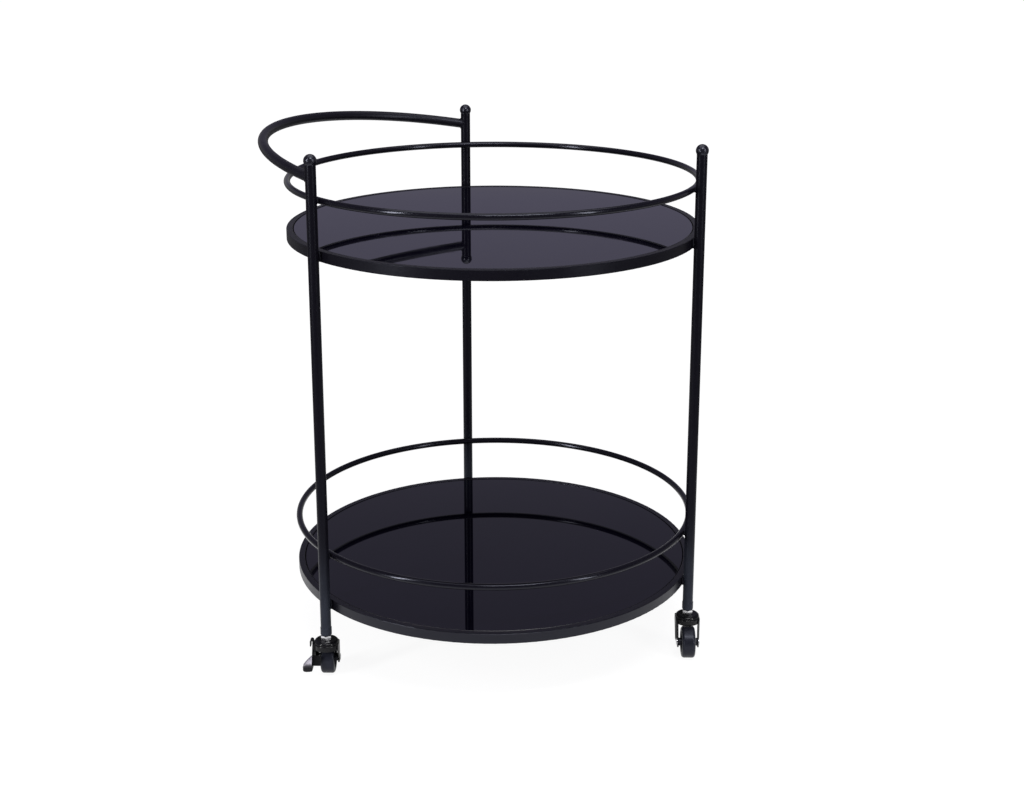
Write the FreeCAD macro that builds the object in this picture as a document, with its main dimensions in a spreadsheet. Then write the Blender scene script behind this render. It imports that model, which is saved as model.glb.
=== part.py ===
import FreeCAD, Part
import math
import os
import re
import Sketcher

from FreeCAD import Placement, Rotation, Vector

# Serving trolley. Two round trays of dark glass hang between three tube legs, each tray with a
# rod gallery above it. A bow handle joins the two rear legs, and each leg stands on a caster.
# +Z is up, the handle is on the -X side, and the origin is on the floor under the middle.

# Lengths in mm
LENGTHS = {
    # Legs and the height of the frame
    "frame_height": 655.3,
    "leg_diameter": 13.0,
    "tube_wall": 1.2,
    "foot_length": 21.8,
    "finial_diameter": 15.5,
    "finial_seam_width": 0.5,
    "finial_seam_depth": 0.3,
    "spigot_length": 14.0,
    # Rod galleries
    "rail_radius": 254.5,
    "rod_diameter": 8.0,
    "rail_drop": 54.9,
    "rail_rise": 58.6,
    # Trays
    "rim_gap": 1.2,
    "rim_width": 8.0,
    "rim_depth": 13.0,
    "rim_rounding": 0.8,
    "ledge_width": 12.0,
    "ledge_thickness": 1.5,
    "glass_thickness": 5.0,
    "glass_recess": 0.5,
    "glass_margin": 0.8,
    "glass_bevel": 0.7,
    "bumper_diameter": 8.0,
    "bumper_thickness": 1.0,
    # Bow handle
    "handle_diameter": 12.5,
    "handle_drop": 27.3,
    "handle_reach": 155.5,
    # Welds
    "weld_gap": 0.2,
    "weld_depth": 4.5,
    "weld_spread": 7.0,
    "rim_weld_spread": 11.0,
    "weld_rise": 6.3,
    "handle_weld_growth": 1.0,
    # Caster as a whole
    "caster_trail": 16.0,
    "sheet_thickness": 1.6,
    "fit_clearance": 0.1,
    "part_gap": 0.3,
    "cut_overrun": 2.0,
    # Wheel and axle
    "wheel_diameter": 40.0,
    "tyre_width": 17.0,
    "tyre_depth": 6.5,
    "tyre_rounding": 3.5,
    "hub_recess": 0.8,
    "hub_rim_thickness": 2.5,
    "hub_web_thickness": 4.0,
    "hub_boss_diameter": 10.0,
    "hub_rib_thickness": 1.4,
    "hub_rib_recess": 1.2,
    "axle_diameter": 5.0,
    "rivet_head_diameter": 8.5,
    "rivet_head_length": 1.3,
    # Fork
    "hood_gap": 7.0,
    "skirt_gap": 1.2,
    "hood_rounding": 2.0,
    "cheek_gap": 3.4,
    "cheek_joggle": 2.0,
    "cheek_width": 16.0,
    "cheek_boss_radius": 7.0,
    # Leg plug, stud and swivel cup
    "collar_growth": 0.5,
    "collar_length": 10.5,
    "collar_rounding": 1.6,
    "plug_length": 16.0,
    "stud_diameter": 8.0,
    "stud_end_gap": 2.0,
    "stud_chamfer": 1.0,
    "nut_width": 12.0,
    "nut_length": 6.0,
    "nut_chamfer": 0.4,
    "kingpin_diameter": 6.0,
    "kingpin_head_diameter": 11.0,
    "kingpin_head_length": 1.8,
    "cup_inset": 0.5,
    "cup_thickness": 1.1,
    "cup_crown_inset": 4.0,
    "cup_shoulder_drop": 2.8,
    "cup_rounding": 3.6,
    "ball_diameter": 2.0,
    "ball_inset": 4.5,
    "ball_clearance": 0.5,
    # Brake lever
    "lever_thickness": 1.4,
    "lever_pivot_x": 4.0,
    "lever_pivot_drop": 10.6,
    "lever_pin_diameter": 3.0,
    "lever_head_diameter": 5.4,
    "lever_head_length": 1.0,
    "shoe_gap": 3.0,
    "shoe_thickness": 1.8,
    "shoe_length": 13.0,
    "shoe_overlap": 1.5,
    "pedal_drop": 5.4,
    "pedal_reach": 12.4,
    "pedal_length": 9.0,
    "pedal_front_x": -15.0,
    "pedal_lip": 4.4,
    "pedal_rounding": 2.8,
    "pedal_bend": 4.6,
    "lever_foot_rise": 8.8,
    "lever_waist_rise": 11.7,
    "lever_waist_x": -2.0,
    "lever_shoulder_x": -8.0,
    "lever_rise": 2.9,
    "hook_reach": 2.4,
    "hook_bend": 2.2,
    "hook_drop": 8.5,
    "hook_length": 8.0,
    "hook_x": -3.0,
}

# Angles in degrees. A leg's angle is its place round the tray, and a caster's is the way it trails.
ANGLES = {
    "nose_leg_angle": 0,
    "left_leg_angle": 120,
    "right_leg_angle": 240,
    "nose_caster_angle": -70,
    "left_caster_angle": 205,
    "right_caster_angle": 110,
    "handle_tilt_angle": 9.2,
    "boss_start_angle": 30,
    "nut_chamfer_angle": 30,
    "shoe_angle": 165,
}
LEGS = ("nose", "left", "right")
BRAKED_CASTERS = ("left", "right")
BALL_COUNT = 12
BUMPER_COUNT = 6
HUB_RIB_COUNT = 6

# How exactly two lengths agree, and the least share of a piece that a cut takes away
LENGTH_TOLERANCE = 1e-6
LEAST_CUT_SHARE = 1e-6

# Heights from the floor up
WHEEL_RADIUS = "(wheel_diameter / 2)"
HUB_RADIUS = f"({WHEEL_RADIUS} - tyre_depth)"
SKIRT_BASE = "(wheel_diameter + skirt_gap)"
PLATE_BASE = "(wheel_diameter + hood_gap)"
PLATE_TOP = f"({PLATE_BASE} + sheet_thickness)"
PIN_HEAD_TOP = f"({PLATE_BASE} - part_gap)"
CUP_RIM = f"({PLATE_TOP} + part_gap)"
NUT_BASE = f"({PLATE_TOP} + ball_diameter + ball_clearance + cup_thickness)"
NUT_TOP = f"({NUT_BASE} + nut_length)"
LEG_BASE = f"({NUT_TOP} + collar_length)"
LOWER_TRAY = f"({LEG_BASE} + foot_length + rim_depth)"
LOWER_RAIL = f"({LOWER_TRAY} + rail_rise)"
UPPER_RAIL = "(frame_height - rail_drop)"
UPPER_TRAY = f"({UPPER_RAIL} - rail_rise)"
BALL_SINK = "sqrt((finial_diameter / 2) ^ 2 - (leg_diameter / 2) ^ 2)"
LEG_TOP = f"(frame_height - finial_diameter / 2 - {BALL_SINK} - finial_seam_width)"
GLASS_DROP = "(glass_recess + glass_thickness)"
LEDGE_DROP = f"({GLASS_DROP} + bumper_thickness)"
PIVOT_HEIGHT = f"({PLATE_TOP} - lever_pivot_drop)"
LEVER_TOP = f"({PLATE_TOP} + lever_rise)"
PEDAL_BASE = f"({WHEEL_RADIUS} - pedal_drop)"

# Distances from the tray's axis, and the places of the tray and of the bow
LEG_CIRCLE = "(rail_radius + rod_diameter / 2 + weld_gap + leg_diameter / 2)"
LEG_BORE_RADIUS = "(leg_diameter / 2 - tube_wall)"
RIM_RADIUS = f"({LEG_CIRCLE} - leg_diameter / 2 - rim_gap)"
RIM_BORE = f"({RIM_RADIUS} - rim_width)"
AXLE_INSIDE = "(tyre_width / 2 + cheek_gap)"
CHEEK_OUTSIDE = f"({AXLE_INSIDE} + sheet_thickness)"
HOOD_INSIDE = f"({AXLE_INSIDE} + cheek_joggle)"
HOOD_RADIUS = f"({HOOD_INSIDE} + sheet_thickness)"
HALF_SPAN = f"({LEG_CIRCLE} * sin(60))"
BOW_RADIUS = f"(({HALF_SPAN} ^ 2 + handle_reach ^ 2) / (2 * handle_reach))"
BOW_HALF_ANGLE = f"asin({HALF_SPAN} / {BOW_RADIUS})"
BOW_EXTENT = f"({LEG_CIRCLE} / 2 + handle_reach * cos(handle_tilt_angle) + handle_diameter / 2)"
NOSE_EXTENT = f"({LEG_CIRCLE} + {HOOD_RADIUS})"
TRAY_X = f"(({BOW_EXTENT} - {NOSE_EXTENT}) / 2)"
BOW_X = f"({TRAY_X} - {LEG_CIRCLE} / 2 + ({BOW_RADIUS} - handle_reach) * cos(handle_tilt_angle))"
BOW_Z = f"(frame_height - handle_drop - ({BOW_RADIUS} - handle_reach) * sin(handle_tilt_angle))"

# Across a caster: the kingpin's bore, where the cheeks bend inwards, and the lever beside the fork
KINGPIN_BORE = "(kingpin_diameter / 2 + fit_clearance)"
JOGGLE_START = "(lever_pivot_x + lever_head_diameter / 2 + part_gap)"
JOGGLE_END = "(caster_trail - rivet_head_diameter / 2 - part_gap)"
LEVER_INSIDE = f"({HOOD_RADIUS} + part_gap)"
LEVER_OUTSIDE = f"({LEVER_INSIDE} + lever_thickness)"

doc = FreeCAD.newDocument("serving_trolley")
sheet = doc.addObject("Spreadsheet::Sheet", "Sizes")
sub_parts = []


def fill_sheet():
    """Writes each size beside its name and gives its cell that name."""
    for row, (name, size) in enumerate({**LENGTHS, **ANGLES}.items(), start=1):
        sheet.set(f"A{row}", name)
        sheet.set(f"B{row}", str(size))
        sheet.setAlias(f"B{row}", name)
    doc.recompute()


def value(formula):
    """The number that a formula of size names gives."""
    result = sheet.evalExpression(formula)
    return float(getattr(result, "Value", result))


def bind(item, path, formula):
    """Ties a property to a formula whose size names are read from the sheet."""
    item.setExpression(path, re.sub(r"[a-z]+_\w+", lambda name: "Sizes." + name.group(), formula))


def place(item, x, y, z, turn=0, axis=Vector(0, 0, 1)):
    """Turns an object about an axis by an angle in degrees and ties its place to the sheet."""
    item.Placement = Placement(Vector(), Rotation(axis, turn))
    for letter, formula in zip("xyz", (x, y, z)):
        bind(item, f"Placement.Base.{letter}", formula)


def place_at_leg(item, leg, height, turn=0, radius=LEG_CIRCLE):
    """Puts an object at a leg's angle, on the leg circle unless a radius is given."""
    angle = f"{leg}_leg_angle"
    place(item, f"{TRAY_X} + {radius} * cos({angle})", f"{radius} * sin({angle})", height, turn)


def keep(item, name):
    """Names an object as a sub-part of the trolley."""
    item.Label = name
    sub_parts.append(item)
    return item


def new_body(name):
    """A new body that is a sub-part."""
    return keep(doc.addObject("PartDesign::Body", name), name)


def new_sketch(body, name, role, offset=None):
    """A sketch on one of the body's own planes, or at an offset along the plane's normal."""
    sketch = body.newObject("Sketcher::SketchObject", name)
    plane = next(feature for feature in body.Origin.OriginFeatures if feature.Role == role)
    sketch.AttachmentSupport = [(plane, "")]
    sketch.MapMode = "FlatFace"
    if offset:
        bind(sketch, "AttachmentOffset.Base.z", offset)
    return sketch


def hold_point(sketch, shape, end, x, y):
    """Fixes one point of a sketch by its distances from the sketch's origin."""
    for kind, axis, formula in (("DistanceX", -2, x), ("DistanceY", -1, y)):
        distance = value(formula)
        if distance == 0:
            sketch.addConstraint(Sketcher.Constraint("PointOnObject", shape, end, axis))
        else:
            number = sketch.addConstraint(Sketcher.Constraint(kind, -1, 1, shape, end, distance))
            bind(sketch, f"Constraints[{number}]", formula)


def hold_radius(sketch, shape, formula):
    """Fixes the radius of a circle or an arc."""
    number = sketch.addConstraint(Sketcher.Constraint("Radius", shape, value(formula)))
    bind(sketch, f"Constraints[{number}]", formula)


def draw_circle(sketch, x, y, radius):
    """Adds a circle."""
    centre = Vector(value(x), value(y), 0)
    shape = sketch.addGeometry(Part.Circle(centre, Vector(0, 0, 1), value(radius)))
    hold_point(sketch, shape, 3, x, y)
    hold_radius(sketch, shape, radius)


def arc_middle(start, finish, radius, side):
    """The middle of the short arc between two points, centred left (1) or right (-1) of its chord."""
    chord = finish - start
    left = Vector(-chord.y, chord.x, 0).normalize()
    rise = radius - math.sqrt(radius**2 - (chord.Length / 2) ** 2)
    return (start + finish) * 0.5 - left * side * rise


def draw_outline(sketch, corners, arcs=None):
    """Adds a closed outline. An arc is given by its first corner's number, as a radius and a side."""
    arcs = arcs or {}
    points = [Vector(value(x), value(y), 0) for x, y in corners]
    ends = []
    for number, start in enumerate(points):
        finish = points[(number + 1) % len(points)]
        if number in arcs:
            radius, side = arcs[number]
            middle = arc_middle(start, finish, value(radius), side)
            shape = sketch.addGeometry(Part.Arc(start, middle, finish))
        else:
            shape = sketch.addGeometry(Part.LineSegment(start, finish))
        near, far = (sketch.getPoint(shape, end).distanceToPoint(start) for end in (1, 2))
        ends.append((shape, 1, 2) if near < far else (shape, 2, 1))
    for number, (shape, first, last) in enumerate(ends):
        following = ends[(number + 1) % len(ends)]
        sketch.addConstraint(Sketcher.Constraint("Coincident", shape, last, following[0], following[1]))
    for (x, y), (shape, first, last) in zip(corners, ends):
        hold_point(sketch, shape, first, x, y)
    for number, (radius, side) in arcs.items():
        hold_radius(sketch, ends[number][0], radius)


def pad(body, name, sketch, length, both_ways=False, backwards=False):
    """Extrudes a sketch along its normal, backwards or by half the length each way."""
    feature = body.newObject("PartDesign::Pad", name)
    feature.Profile = sketch
    feature.SideType = "Symmetric" if both_ways else "One side"
    feature.Reversed = backwards
    bind(feature, "Length", length)
    return feature


def pocket(body, name, sketch, length=None, both_ways=True):
    """Cuts a sketch out of a body, all the way through unless a length is given."""
    feature = body.newObject("PartDesign::Pocket", name)
    feature.Profile = sketch
    feature.SideType = "Symmetric" if both_ways else "One side"
    if length:
        bind(feature, "Length", length)
    else:
        feature.Type = "ThroughAll"
    return feature


def revolve(body, name, sketch, angle=None):
    """Turns a sketch about its vertical axis, right round or evenly about the sketch."""
    feature = body.newObject("PartDesign::Revolution", name)
    feature.Profile = sketch
    feature.ReferenceAxis = (sketch, ["V_Axis"])
    feature.Angle = 360
    if angle:
        feature.Midplane = True
        bind(feature, "Angle", angle)
    return feature


def repeat_round(body, name, feature, sketch, count):
    """Repeats a feature evenly round its sketch's normal."""
    ring = body.newObject("PartDesign::PolarPattern", name)
    ring.Originals = [feature]
    ring.Axis = (sketch, ["N_Axis"])
    ring.Angle = 360
    ring.Occurrences = count
    body.Tip = ring


def edge_names(feature, chosen):
    """Names of a feature's edges that pass a test."""
    doc.recompute()
    return [f"Edge{number}" for number, edge in enumerate(feature.Shape.Edges, start=1) if chosen(edge)]


def is_circle(edge):
    """Whether an edge is round."""
    return isinstance(edge.Curve, Part.Circle)


def ease_edges(body, kind, name, feature, size, chosen):
    """Adds a fillet or a chamfer to the chosen edges of a feature."""
    eased = body.newObject(f"PartDesign::{kind}", name)
    eased.Base = (feature, edge_names(feature, chosen))
    bind(eased, "Radius" if kind == "Fillet" else "Size", size)
    return eased


def primitive(kind, name, sizes):
    """A plain solid that shapes another piece."""
    item = doc.addObject(f"Part::{kind}", name)
    for path, formula in sizes.items():
        bind(item, path, formula)
    return item


def group(name, items):
    """Several separate solids as one object."""
    compound = doc.addObject("Part::Compound", name)
    compound.Links = items
    return compound


def cut(name, base, tool):
    """The base without the tool, as a sub-part."""
    result = doc.addObject("Part::Cut", name)
    result.Base = base
    result.Tool = tool
    return keep(result, name)


def make_leg(leg):
    """A straight steel tube from the caster socket to the finial."""
    body = new_body(f"leg_{leg}")
    ring = new_sketch(body, "leg_ring", "XY_Plane")
    draw_circle(ring, "0", "0", "leg_diameter / 2")
    draw_circle(ring, "0", "0", LEG_BORE_RADIUS)
    pad(body, "leg_tube", ring, f"{LEG_TOP} - {LEG_BASE}")
    place_at_leg(body, leg, LEG_BASE)


def make_finial(leg):
    """A ball above a fine seam, with a spigot that fills the top of the tube."""
    body = new_body(f"finial_{leg}")
    half = new_sketch(body, "finial_half", "XZ_Plane")
    spigot = f"{LEG_BORE_RADIUS} - fit_clearance"
    seam = "leg_diameter / 2 - finial_seam_depth"
    ball_radius = "finial_diameter / 2"
    ball_centre = f"finial_seam_width + {BALL_SINK}"
    corners = [
        ("0", "-spigot_length"),
        (spigot, "-spigot_length"),
        (spigot, "0"),
        (seam, "0"),
        (seam, "finial_seam_width"),
        ("leg_diameter / 2", "finial_seam_width"),
        (ball_radius, ball_centre),
        ("0", f"{ball_centre} + {ball_radius}"),
    ]
    draw_outline(half, corners, {5: (ball_radius, 1), 6: (ball_radius, 1)})
    revolve(body, "finial_turning", half)
    place_at_leg(body, leg, LEG_TOP)


def make_rim(level, height):
    """The steel ring round a tray, with eased edges."""
    body = new_body(f"rim_{level}")
    section = new_sketch(body, "rim_section", "XZ_Plane")
    corners = [(RIM_BORE, "-rim_depth"), (RIM_RADIUS, "-rim_depth"), (RIM_RADIUS, "0"), (RIM_BORE, "0")]
    draw_outline(section, corners)
    ring = revolve(body, "rim_ring", section)
    ease_edges(body, "Fillet", "rim_edges", ring, "rim_rounding", is_circle)
    place(body, TRAY_X, "0", height)
    return body


def make_ledge(level, height):
    """The flat ring inside the rim that carries the glass."""
    body = new_body(f"glass_ledge_{level}")
    plan = new_sketch(body, "ledge_plan", "XY_Plane")
    draw_circle(plan, "0", "0", RIM_BORE)
    draw_circle(plan, "0", "0", f"{RIM_BORE} - ledge_width")
    pad(body, "ledge_ring", plan, "ledge_thickness")
    place(body, TRAY_X, "0", f"{height} - {LEDGE_DROP} - ledge_thickness")


def make_bumpers(level, height):
    """Clear pads between the ledge and the glass."""
    body = new_body(f"glass_bumpers_{level}")
    plan = new_sketch(body, "bumper_plan", "XY_Plane")
    draw_circle(plan, f"{RIM_BORE} - ledge_width / 2", "0", "bumper_diameter / 2")
    bumper = pad(body, "bumper", plan, "bumper_thickness")
    repeat_round(body, "bumper_ring", bumper, plan, BUMPER_COUNT)
    place(body, TRAY_X, "0", f"{height} - {LEDGE_DROP}", 180 / BUMPER_COUNT)


def make_glass(level, height):
    """A round pane of dark glass with bevelled edges, a little below the rim's top."""
    body = new_body(f"glass_{level}")
    plan = new_sketch(body, "glass_plan", "XY_Plane")
    draw_circle(plan, "0", "0", f"{RIM_BORE} - glass_margin")
    pane = pad(body, "glass_pane", plan, "glass_thickness")
    ease_edges(body, "Chamfer", "glass_bevels", pane, "glass_bevel", is_circle)
    place(body, TRAY_X, "0", f"{height} - {GLASS_DROP}")


def make_rail(level, height):
    """A gallery of round rod bent into a ring."""
    rail = primitive("Torus", f"rail_{level}", {"Radius1": "rail_radius", "Radius2": "rod_diameter / 2"})
    place(rail, TRAY_X, "0", height)
    return keep(rail, f"rail_{level}")


def make_leg_envelopes():
    """Each leg's outside, for shaping what is welded to it."""
    envelopes = []
    for leg in LEGS:
        sizes = {"Radius": "leg_diameter / 2", "Height": "frame_height"}
        envelope = primitive("Cylinder", f"envelope_{leg}", sizes)
        place_at_leg(envelope, leg, "0")
        envelopes.append(envelope)
    return envelopes


def make_ring_welds(name, ring, envelopes, height, spread):
    """Weld beads where a ring touches the three legs, with the ring and the legs cut away."""
    beads = []
    for leg in LEGS:
        radii = {"Radius1": "weld_rise", "Radius2": "weld_depth", "Radius3": spread}
        bead = primitive("Ellipsoid", f"{name}_{leg}", radii)
        place_at_leg(bead, leg, height, ANGLES[f"{leg}_leg_angle"], f"({LEG_CIRCLE} - leg_diameter / 2)")
        beads.append(bead)
    cut(name, group(f"{name}_beads", beads), group(f"{name}_tools", envelopes + [ring]))


def make_handle(envelopes):
    """The tube that bows out from the rear legs, tilted up and coped to fit them, with its welds."""
    body = doc.addObject("PartDesign::Body", "handle_tube")
    section = new_sketch(body, "handle_section", "XZ_Plane")
    draw_circle(section, f"-{BOW_RADIUS}", "0", "handle_diameter / 2")
    draw_circle(section, f"-{BOW_RADIUS}", "0", "handle_diameter / 2 - tube_wall")
    revolve(body, "handle_bend", section, f"2 * {BOW_HALF_ANGLE}")
    core = primitive("Torus", "handle_core", {"Radius1": BOW_RADIUS, "Radius2": "handle_diameter / 2"})
    for item in (body, core):
        place(item, BOW_X, "0", BOW_Z, ANGLES["handle_tilt_angle"], Vector(0, 1, 0))
    rear_legs = group("handle_cope", [tool for tool in envelopes if not tool.Name.endswith("nose")])
    cut("handle_bow", body, rear_legs)
    tools = group("handle_weld_tools", [rear_legs, core])
    turn = f"({BOW_HALF_ANGLE} - leg_diameter / 2 / {BOW_RADIUS} * 180 / pi * 1 deg)"
    along = f"{BOW_RADIUS} * cos({turn})"
    for leg, side in (("left", 1), ("right", -1)):
        bead = primitive("Sphere", "handle_bead", {"Radius": "handle_diameter / 2 + handle_weld_growth"})
        place(
            bead,
            f"{BOW_X} - {along} * cos(handle_tilt_angle)",
            f"{side} * {BOW_RADIUS} * sin({turn})",
            f"{BOW_Z} + {along} * sin(handle_tilt_angle)",
        )
        cut(f"handle_weld_{leg}", bead, tools)


def make_socket(leg):
    """The plug in the end of a leg, with a rounded collar below the tube and a bore for the stud."""
    body = new_body(f"stud_socket_{leg}")
    half = new_sketch(body, "socket_half", "XZ_Plane")
    bore = "stud_diameter / 2 + fit_clearance"
    plug = f"{LEG_BORE_RADIUS} - fit_clearance"
    collar = "leg_diameter / 2 + collar_growth"
    top = "collar_length + plug_length"
    corners = [
        (bore, "0"),
        (f"{collar} - collar_rounding", "0"),
        (collar, "collar_rounding"),
        (collar, "collar_length - collar_growth"),
        ("leg_diameter / 2", "collar_length"),
        (plug, "collar_length"),
        (plug, top),
        (bore, top),
    ]
    draw_outline(half, corners, {1: ("collar_rounding", 1)})
    revolve(body, "socket_turning", half)
    place_at_leg(body, leg, NUT_TOP)


def place_caster_piece(body, caster):
    """Puts a caster's piece under its leg, with the wheel trailing the way that the caster heads."""
    place_at_leg(body, caster, "0", ANGLES[f"{caster}_caster_angle"])


def cut_nut_chamfers(body):
    """Takes the corners off both ends of the hexagon."""
    section = new_sketch(body, "nut_chamfer_section", "XZ_Plane")
    inner = "nut_width / 2 - nut_chamfer"
    outer = "nut_width / sqrt(3) + cut_overrun"
    slope = f"({outer} - ({inner})) * tan(nut_chamfer_angle)"
    draw_outline(section, [(inner, NUT_TOP), (outer, f"{NUT_TOP} - {slope}"), (outer, NUT_TOP)])
    draw_outline(section, [(inner, NUT_BASE), (outer, NUT_BASE), (outer, f"{NUT_BASE} + {slope}")])
    groove = body.newObject("PartDesign::Groove", "nut_chamfers")
    groove.Profile = section
    groove.ReferenceAxis = (section, ["V_Axis"])
    groove.Angle = 360


def make_stud(caster):
    """The bright stud, its hexagon and the kingpin below it, headed under the fork."""
    body = new_body(f"caster_stud_{caster}")
    flats = new_sketch(body, "nut_flats", "XY_Plane", NUT_BASE)
    hexagon = [
        (f"nut_width / sqrt(3) * cos({60 * corner})", f"nut_width / sqrt(3) * sin({60 * corner})")
        for corner in range(6)
    ]
    draw_outline(flats, hexagon)
    pad(body, "nut", flats, "nut_length")
    cut_nut_chamfers(body)
    half = new_sketch(body, "stud_half", "XZ_Plane")
    top = f"{LEG_BASE} + plug_length - stud_end_gap"
    head = "kingpin_head_diameter / 2"
    head_base = f"{PIN_HEAD_TOP} - kingpin_head_length"
    corners = [
        ("0", head_base),
        (f"{head} - kingpin_head_length / 2", head_base),
        (head, f"{head_base} + kingpin_head_length / 2"),
        (head, PIN_HEAD_TOP),
        ("kingpin_diameter / 2", PIN_HEAD_TOP),
        ("kingpin_diameter / 2", NUT_BASE),
        ("stud_diameter / 2", NUT_BASE),
        ("stud_diameter / 2", f"{top} - stud_chamfer"),
        ("stud_diameter / 2 - stud_chamfer", top),
        ("0", top),
    ]
    draw_outline(half, corners, {1: ("kingpin_head_length / 2", 1)})
    revolve(body, "stud_turning", half)
    place_caster_piece(body, caster)


def make_cup(caster):
    """The domed cup over the balls, fixed under the hexagon."""
    body = new_body(f"swivel_cup_{caster}")
    half = new_sketch(body, "cup_half", "XZ_Plane")
    rim = f"{HOOD_RADIUS} - cup_inset"
    crown = f"{rim} - cup_crown_inset"
    shoulder = f"{NUT_BASE} - cup_shoulder_drop"
    corners = [
        (KINGPIN_BORE, f"{NUT_BASE} - cup_thickness"),
        (crown, f"{NUT_BASE} - cup_thickness"),
        (f"{rim} - cup_thickness", f"{shoulder} - cup_thickness / 2"),
        (f"{rim} - cup_thickness", CUP_RIM),
        (rim, CUP_RIM),
        (rim, shoulder),
        (crown, NUT_BASE),
        (KINGPIN_BORE, NUT_BASE),
    ]
    draw_outline(half, corners, {5: ("cup_rounding", 1)})
    revolve(body, "cup_turning", half)
    place_caster_piece(body, caster)


def make_balls(caster):
    """The ring of balls that the fork turns on."""
    circle = f"({HOOD_RADIUS} - cup_inset - ball_inset)"
    height = f"{PLATE_TOP} + ball_diameter / 2"
    balls = []
    for number in range(BALL_COUNT):
        angle = 360 / BALL_COUNT * number
        ball = primitive("Sphere", "swivel_ball", {"Radius": "ball_diameter / 2"})
        place(ball, f"{circle} * cos({angle})", f"{circle} * sin({angle})", height)
        balls.append(ball)
    ring = keep(group(f"swivel_balls_{caster}", balls), f"swivel_balls_{caster}")
    place_caster_piece(ring, caster)


def is_top_bend(edge):
    """Whether an edge of the fork's block runs along the top of a cheek."""
    middle = edge.CenterOfMass
    along = abs(edge.tangentAt(edge.FirstParameter).x)
    beside = abs(middle.y) > value(AXLE_INSIDE)
    return along > 0 and beside and abs(middle.z - value(PLATE_TOP)) < LENGTH_TOLERANCE


def mirror(corners):
    """The corners on the other side of a sketch's vertical axis, in the same turning sense."""
    return [(f"-({x})", y) for x, y in reversed(corners)]


def flip(corners):
    """The corners on the other side of a sketch's horizontal axis, in the same turning sense."""
    return [(x, f"-({y})") for x, y in reversed(corners)]


def shape_cheeks(body):
    """Two cheeks that narrow to a boss round the axle and bend inwards on the way to it."""
    side = new_sketch(body, "cheek_side", "XZ_Plane")
    boss_x = "cheek_boss_radius * cos(boss_start_angle)"
    boss_z = f"{WHEEL_RADIUS} - cheek_boss_radius * sin(boss_start_angle)"
    corners = [
        ("-cheek_width / 2", PLATE_TOP),
        ("-cheek_width / 2", SKIRT_BASE),
        (f"caster_trail - {boss_x}", boss_z),
        (f"caster_trail + {boss_x}", boss_z),
        ("cheek_width / 2", PLATE_TOP),
    ]
    draw_outline(side, corners, {2: ("cheek_boss_radius", 1)})
    pad(body, "cheek_block", side, f"2 * {HOOD_RADIUS}", both_ways=True)

    far = "caster_trail + cheek_boss_radius + cut_overrun"
    wedges = new_sketch(body, "cheek_wedges", "XY_Plane")
    beyond = f"{HOOD_RADIUS} + cut_overrun"
    wedge = [
        (JOGGLE_START, HOOD_RADIUS),
        (JOGGLE_END, CHEEK_OUTSIDE),
        (far, CHEEK_OUTSIDE),
        (far, beyond),
        (JOGGLE_START, beyond),
    ]
    draw_outline(wedges, wedge)
    draw_outline(wedges, flip(wedge))
    bent = pocket(body, "cheek_joggles", wedges)
    ease_edges(body, "Fillet", "cheek_bends", bent, "sheet_thickness", is_top_bend)

    channel = new_sketch(body, "channel_plan", "XY_Plane", PLATE_BASE)
    inside = [
        (f"-{HOOD_RADIUS}", HOOD_INSIDE),
        (JOGGLE_START, HOOD_INSIDE),
        (JOGGLE_END, AXLE_INSIDE),
        (far, AXLE_INSIDE),
    ]
    draw_outline(channel, inside + flip(inside))
    pocket(body, "channel", channel, both_ways=False)


def shape_hood(body):
    """The round plate over the wheel, with a skirt all round that the tyre passes under."""
    half = new_sketch(body, "hood_half", "XZ_Plane")
    corners = [
        ("0", PLATE_BASE),
        (HOOD_INSIDE, PLATE_BASE),
        (HOOD_INSIDE, SKIRT_BASE),
        (HOOD_RADIUS, SKIRT_BASE),
        (HOOD_RADIUS, f"{PLATE_TOP} - hood_rounding"),
        (f"{HOOD_RADIUS} - hood_rounding", PLATE_TOP),
        ("0", PLATE_TOP),
    ]
    draw_outline(half, corners, {4: ("hood_rounding", 1)})
    revolve(body, "hood", half)


def bore_sideways(body, name, x, height, diameter, both_ways=True):
    """A running hole across a caster's piece, on the brake's side only unless it goes both ways."""
    circle = new_sketch(body, f"{name}_circle", "XZ_Plane")
    draw_circle(circle, x, height, f"{diameter} / 2 + fit_clearance")
    pocket(body, f"{name}_hole", circle, both_ways=both_ways)


def make_fork(caster):
    """The pressed fork: a round hood with a skirt, and two bent cheeks that hold the axle."""
    body = new_body(f"caster_fork_{caster}")
    shape_cheeks(body)
    shape_hood(body)
    bore = new_sketch(body, "kingpin_circle", "XY_Plane")
    draw_circle(bore, "0", "0", KINGPIN_BORE)
    pocket(body, "kingpin_hole", bore)
    bore_sideways(body, "axle", "caster_trail", WHEEL_RADIUS, "axle_diameter")
    if caster in BRAKED_CASTERS:
        bore_sideways(body, "pivot", "lever_pivot_x", PIVOT_HEIGHT, "lever_pin_diameter", False)
    place_caster_piece(body, caster)


def turn_across_fork(body, name, corners, arcs, caster, along, height):
    """Turns a profile about an axis across the fork, at a place along the way that the caster heads."""
    half = new_sketch(body, f"{name}_half", "XZ_Plane")
    draw_outline(half, corners, arcs)
    revolve(body, f"{name}_turning", half)
    heading = f"{caster}_caster_angle"
    angle = f"{caster}_leg_angle"
    across = Rotation(Vector(0, 0, 1), ANGLES[heading]) * Rotation(Vector(1, 0, 0), -90)
    body.Placement = Placement(Vector(), across)
    bind(body, "Placement.Base.x", f"{TRAY_X} + {LEG_CIRCLE} * cos({angle}) + {along} * cos({heading})")
    bind(body, "Placement.Base.y", f"{LEG_CIRCLE} * sin({angle}) + {along} * sin({heading})")
    bind(body, "Placement.Base.z", height)


def turn_on_axle(body, name, corners, arcs, caster):
    """Turns a profile about the wheel's axis."""
    turn_across_fork(body, name, corners, arcs, caster, "caster_trail", WHEEL_RADIUS)


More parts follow.
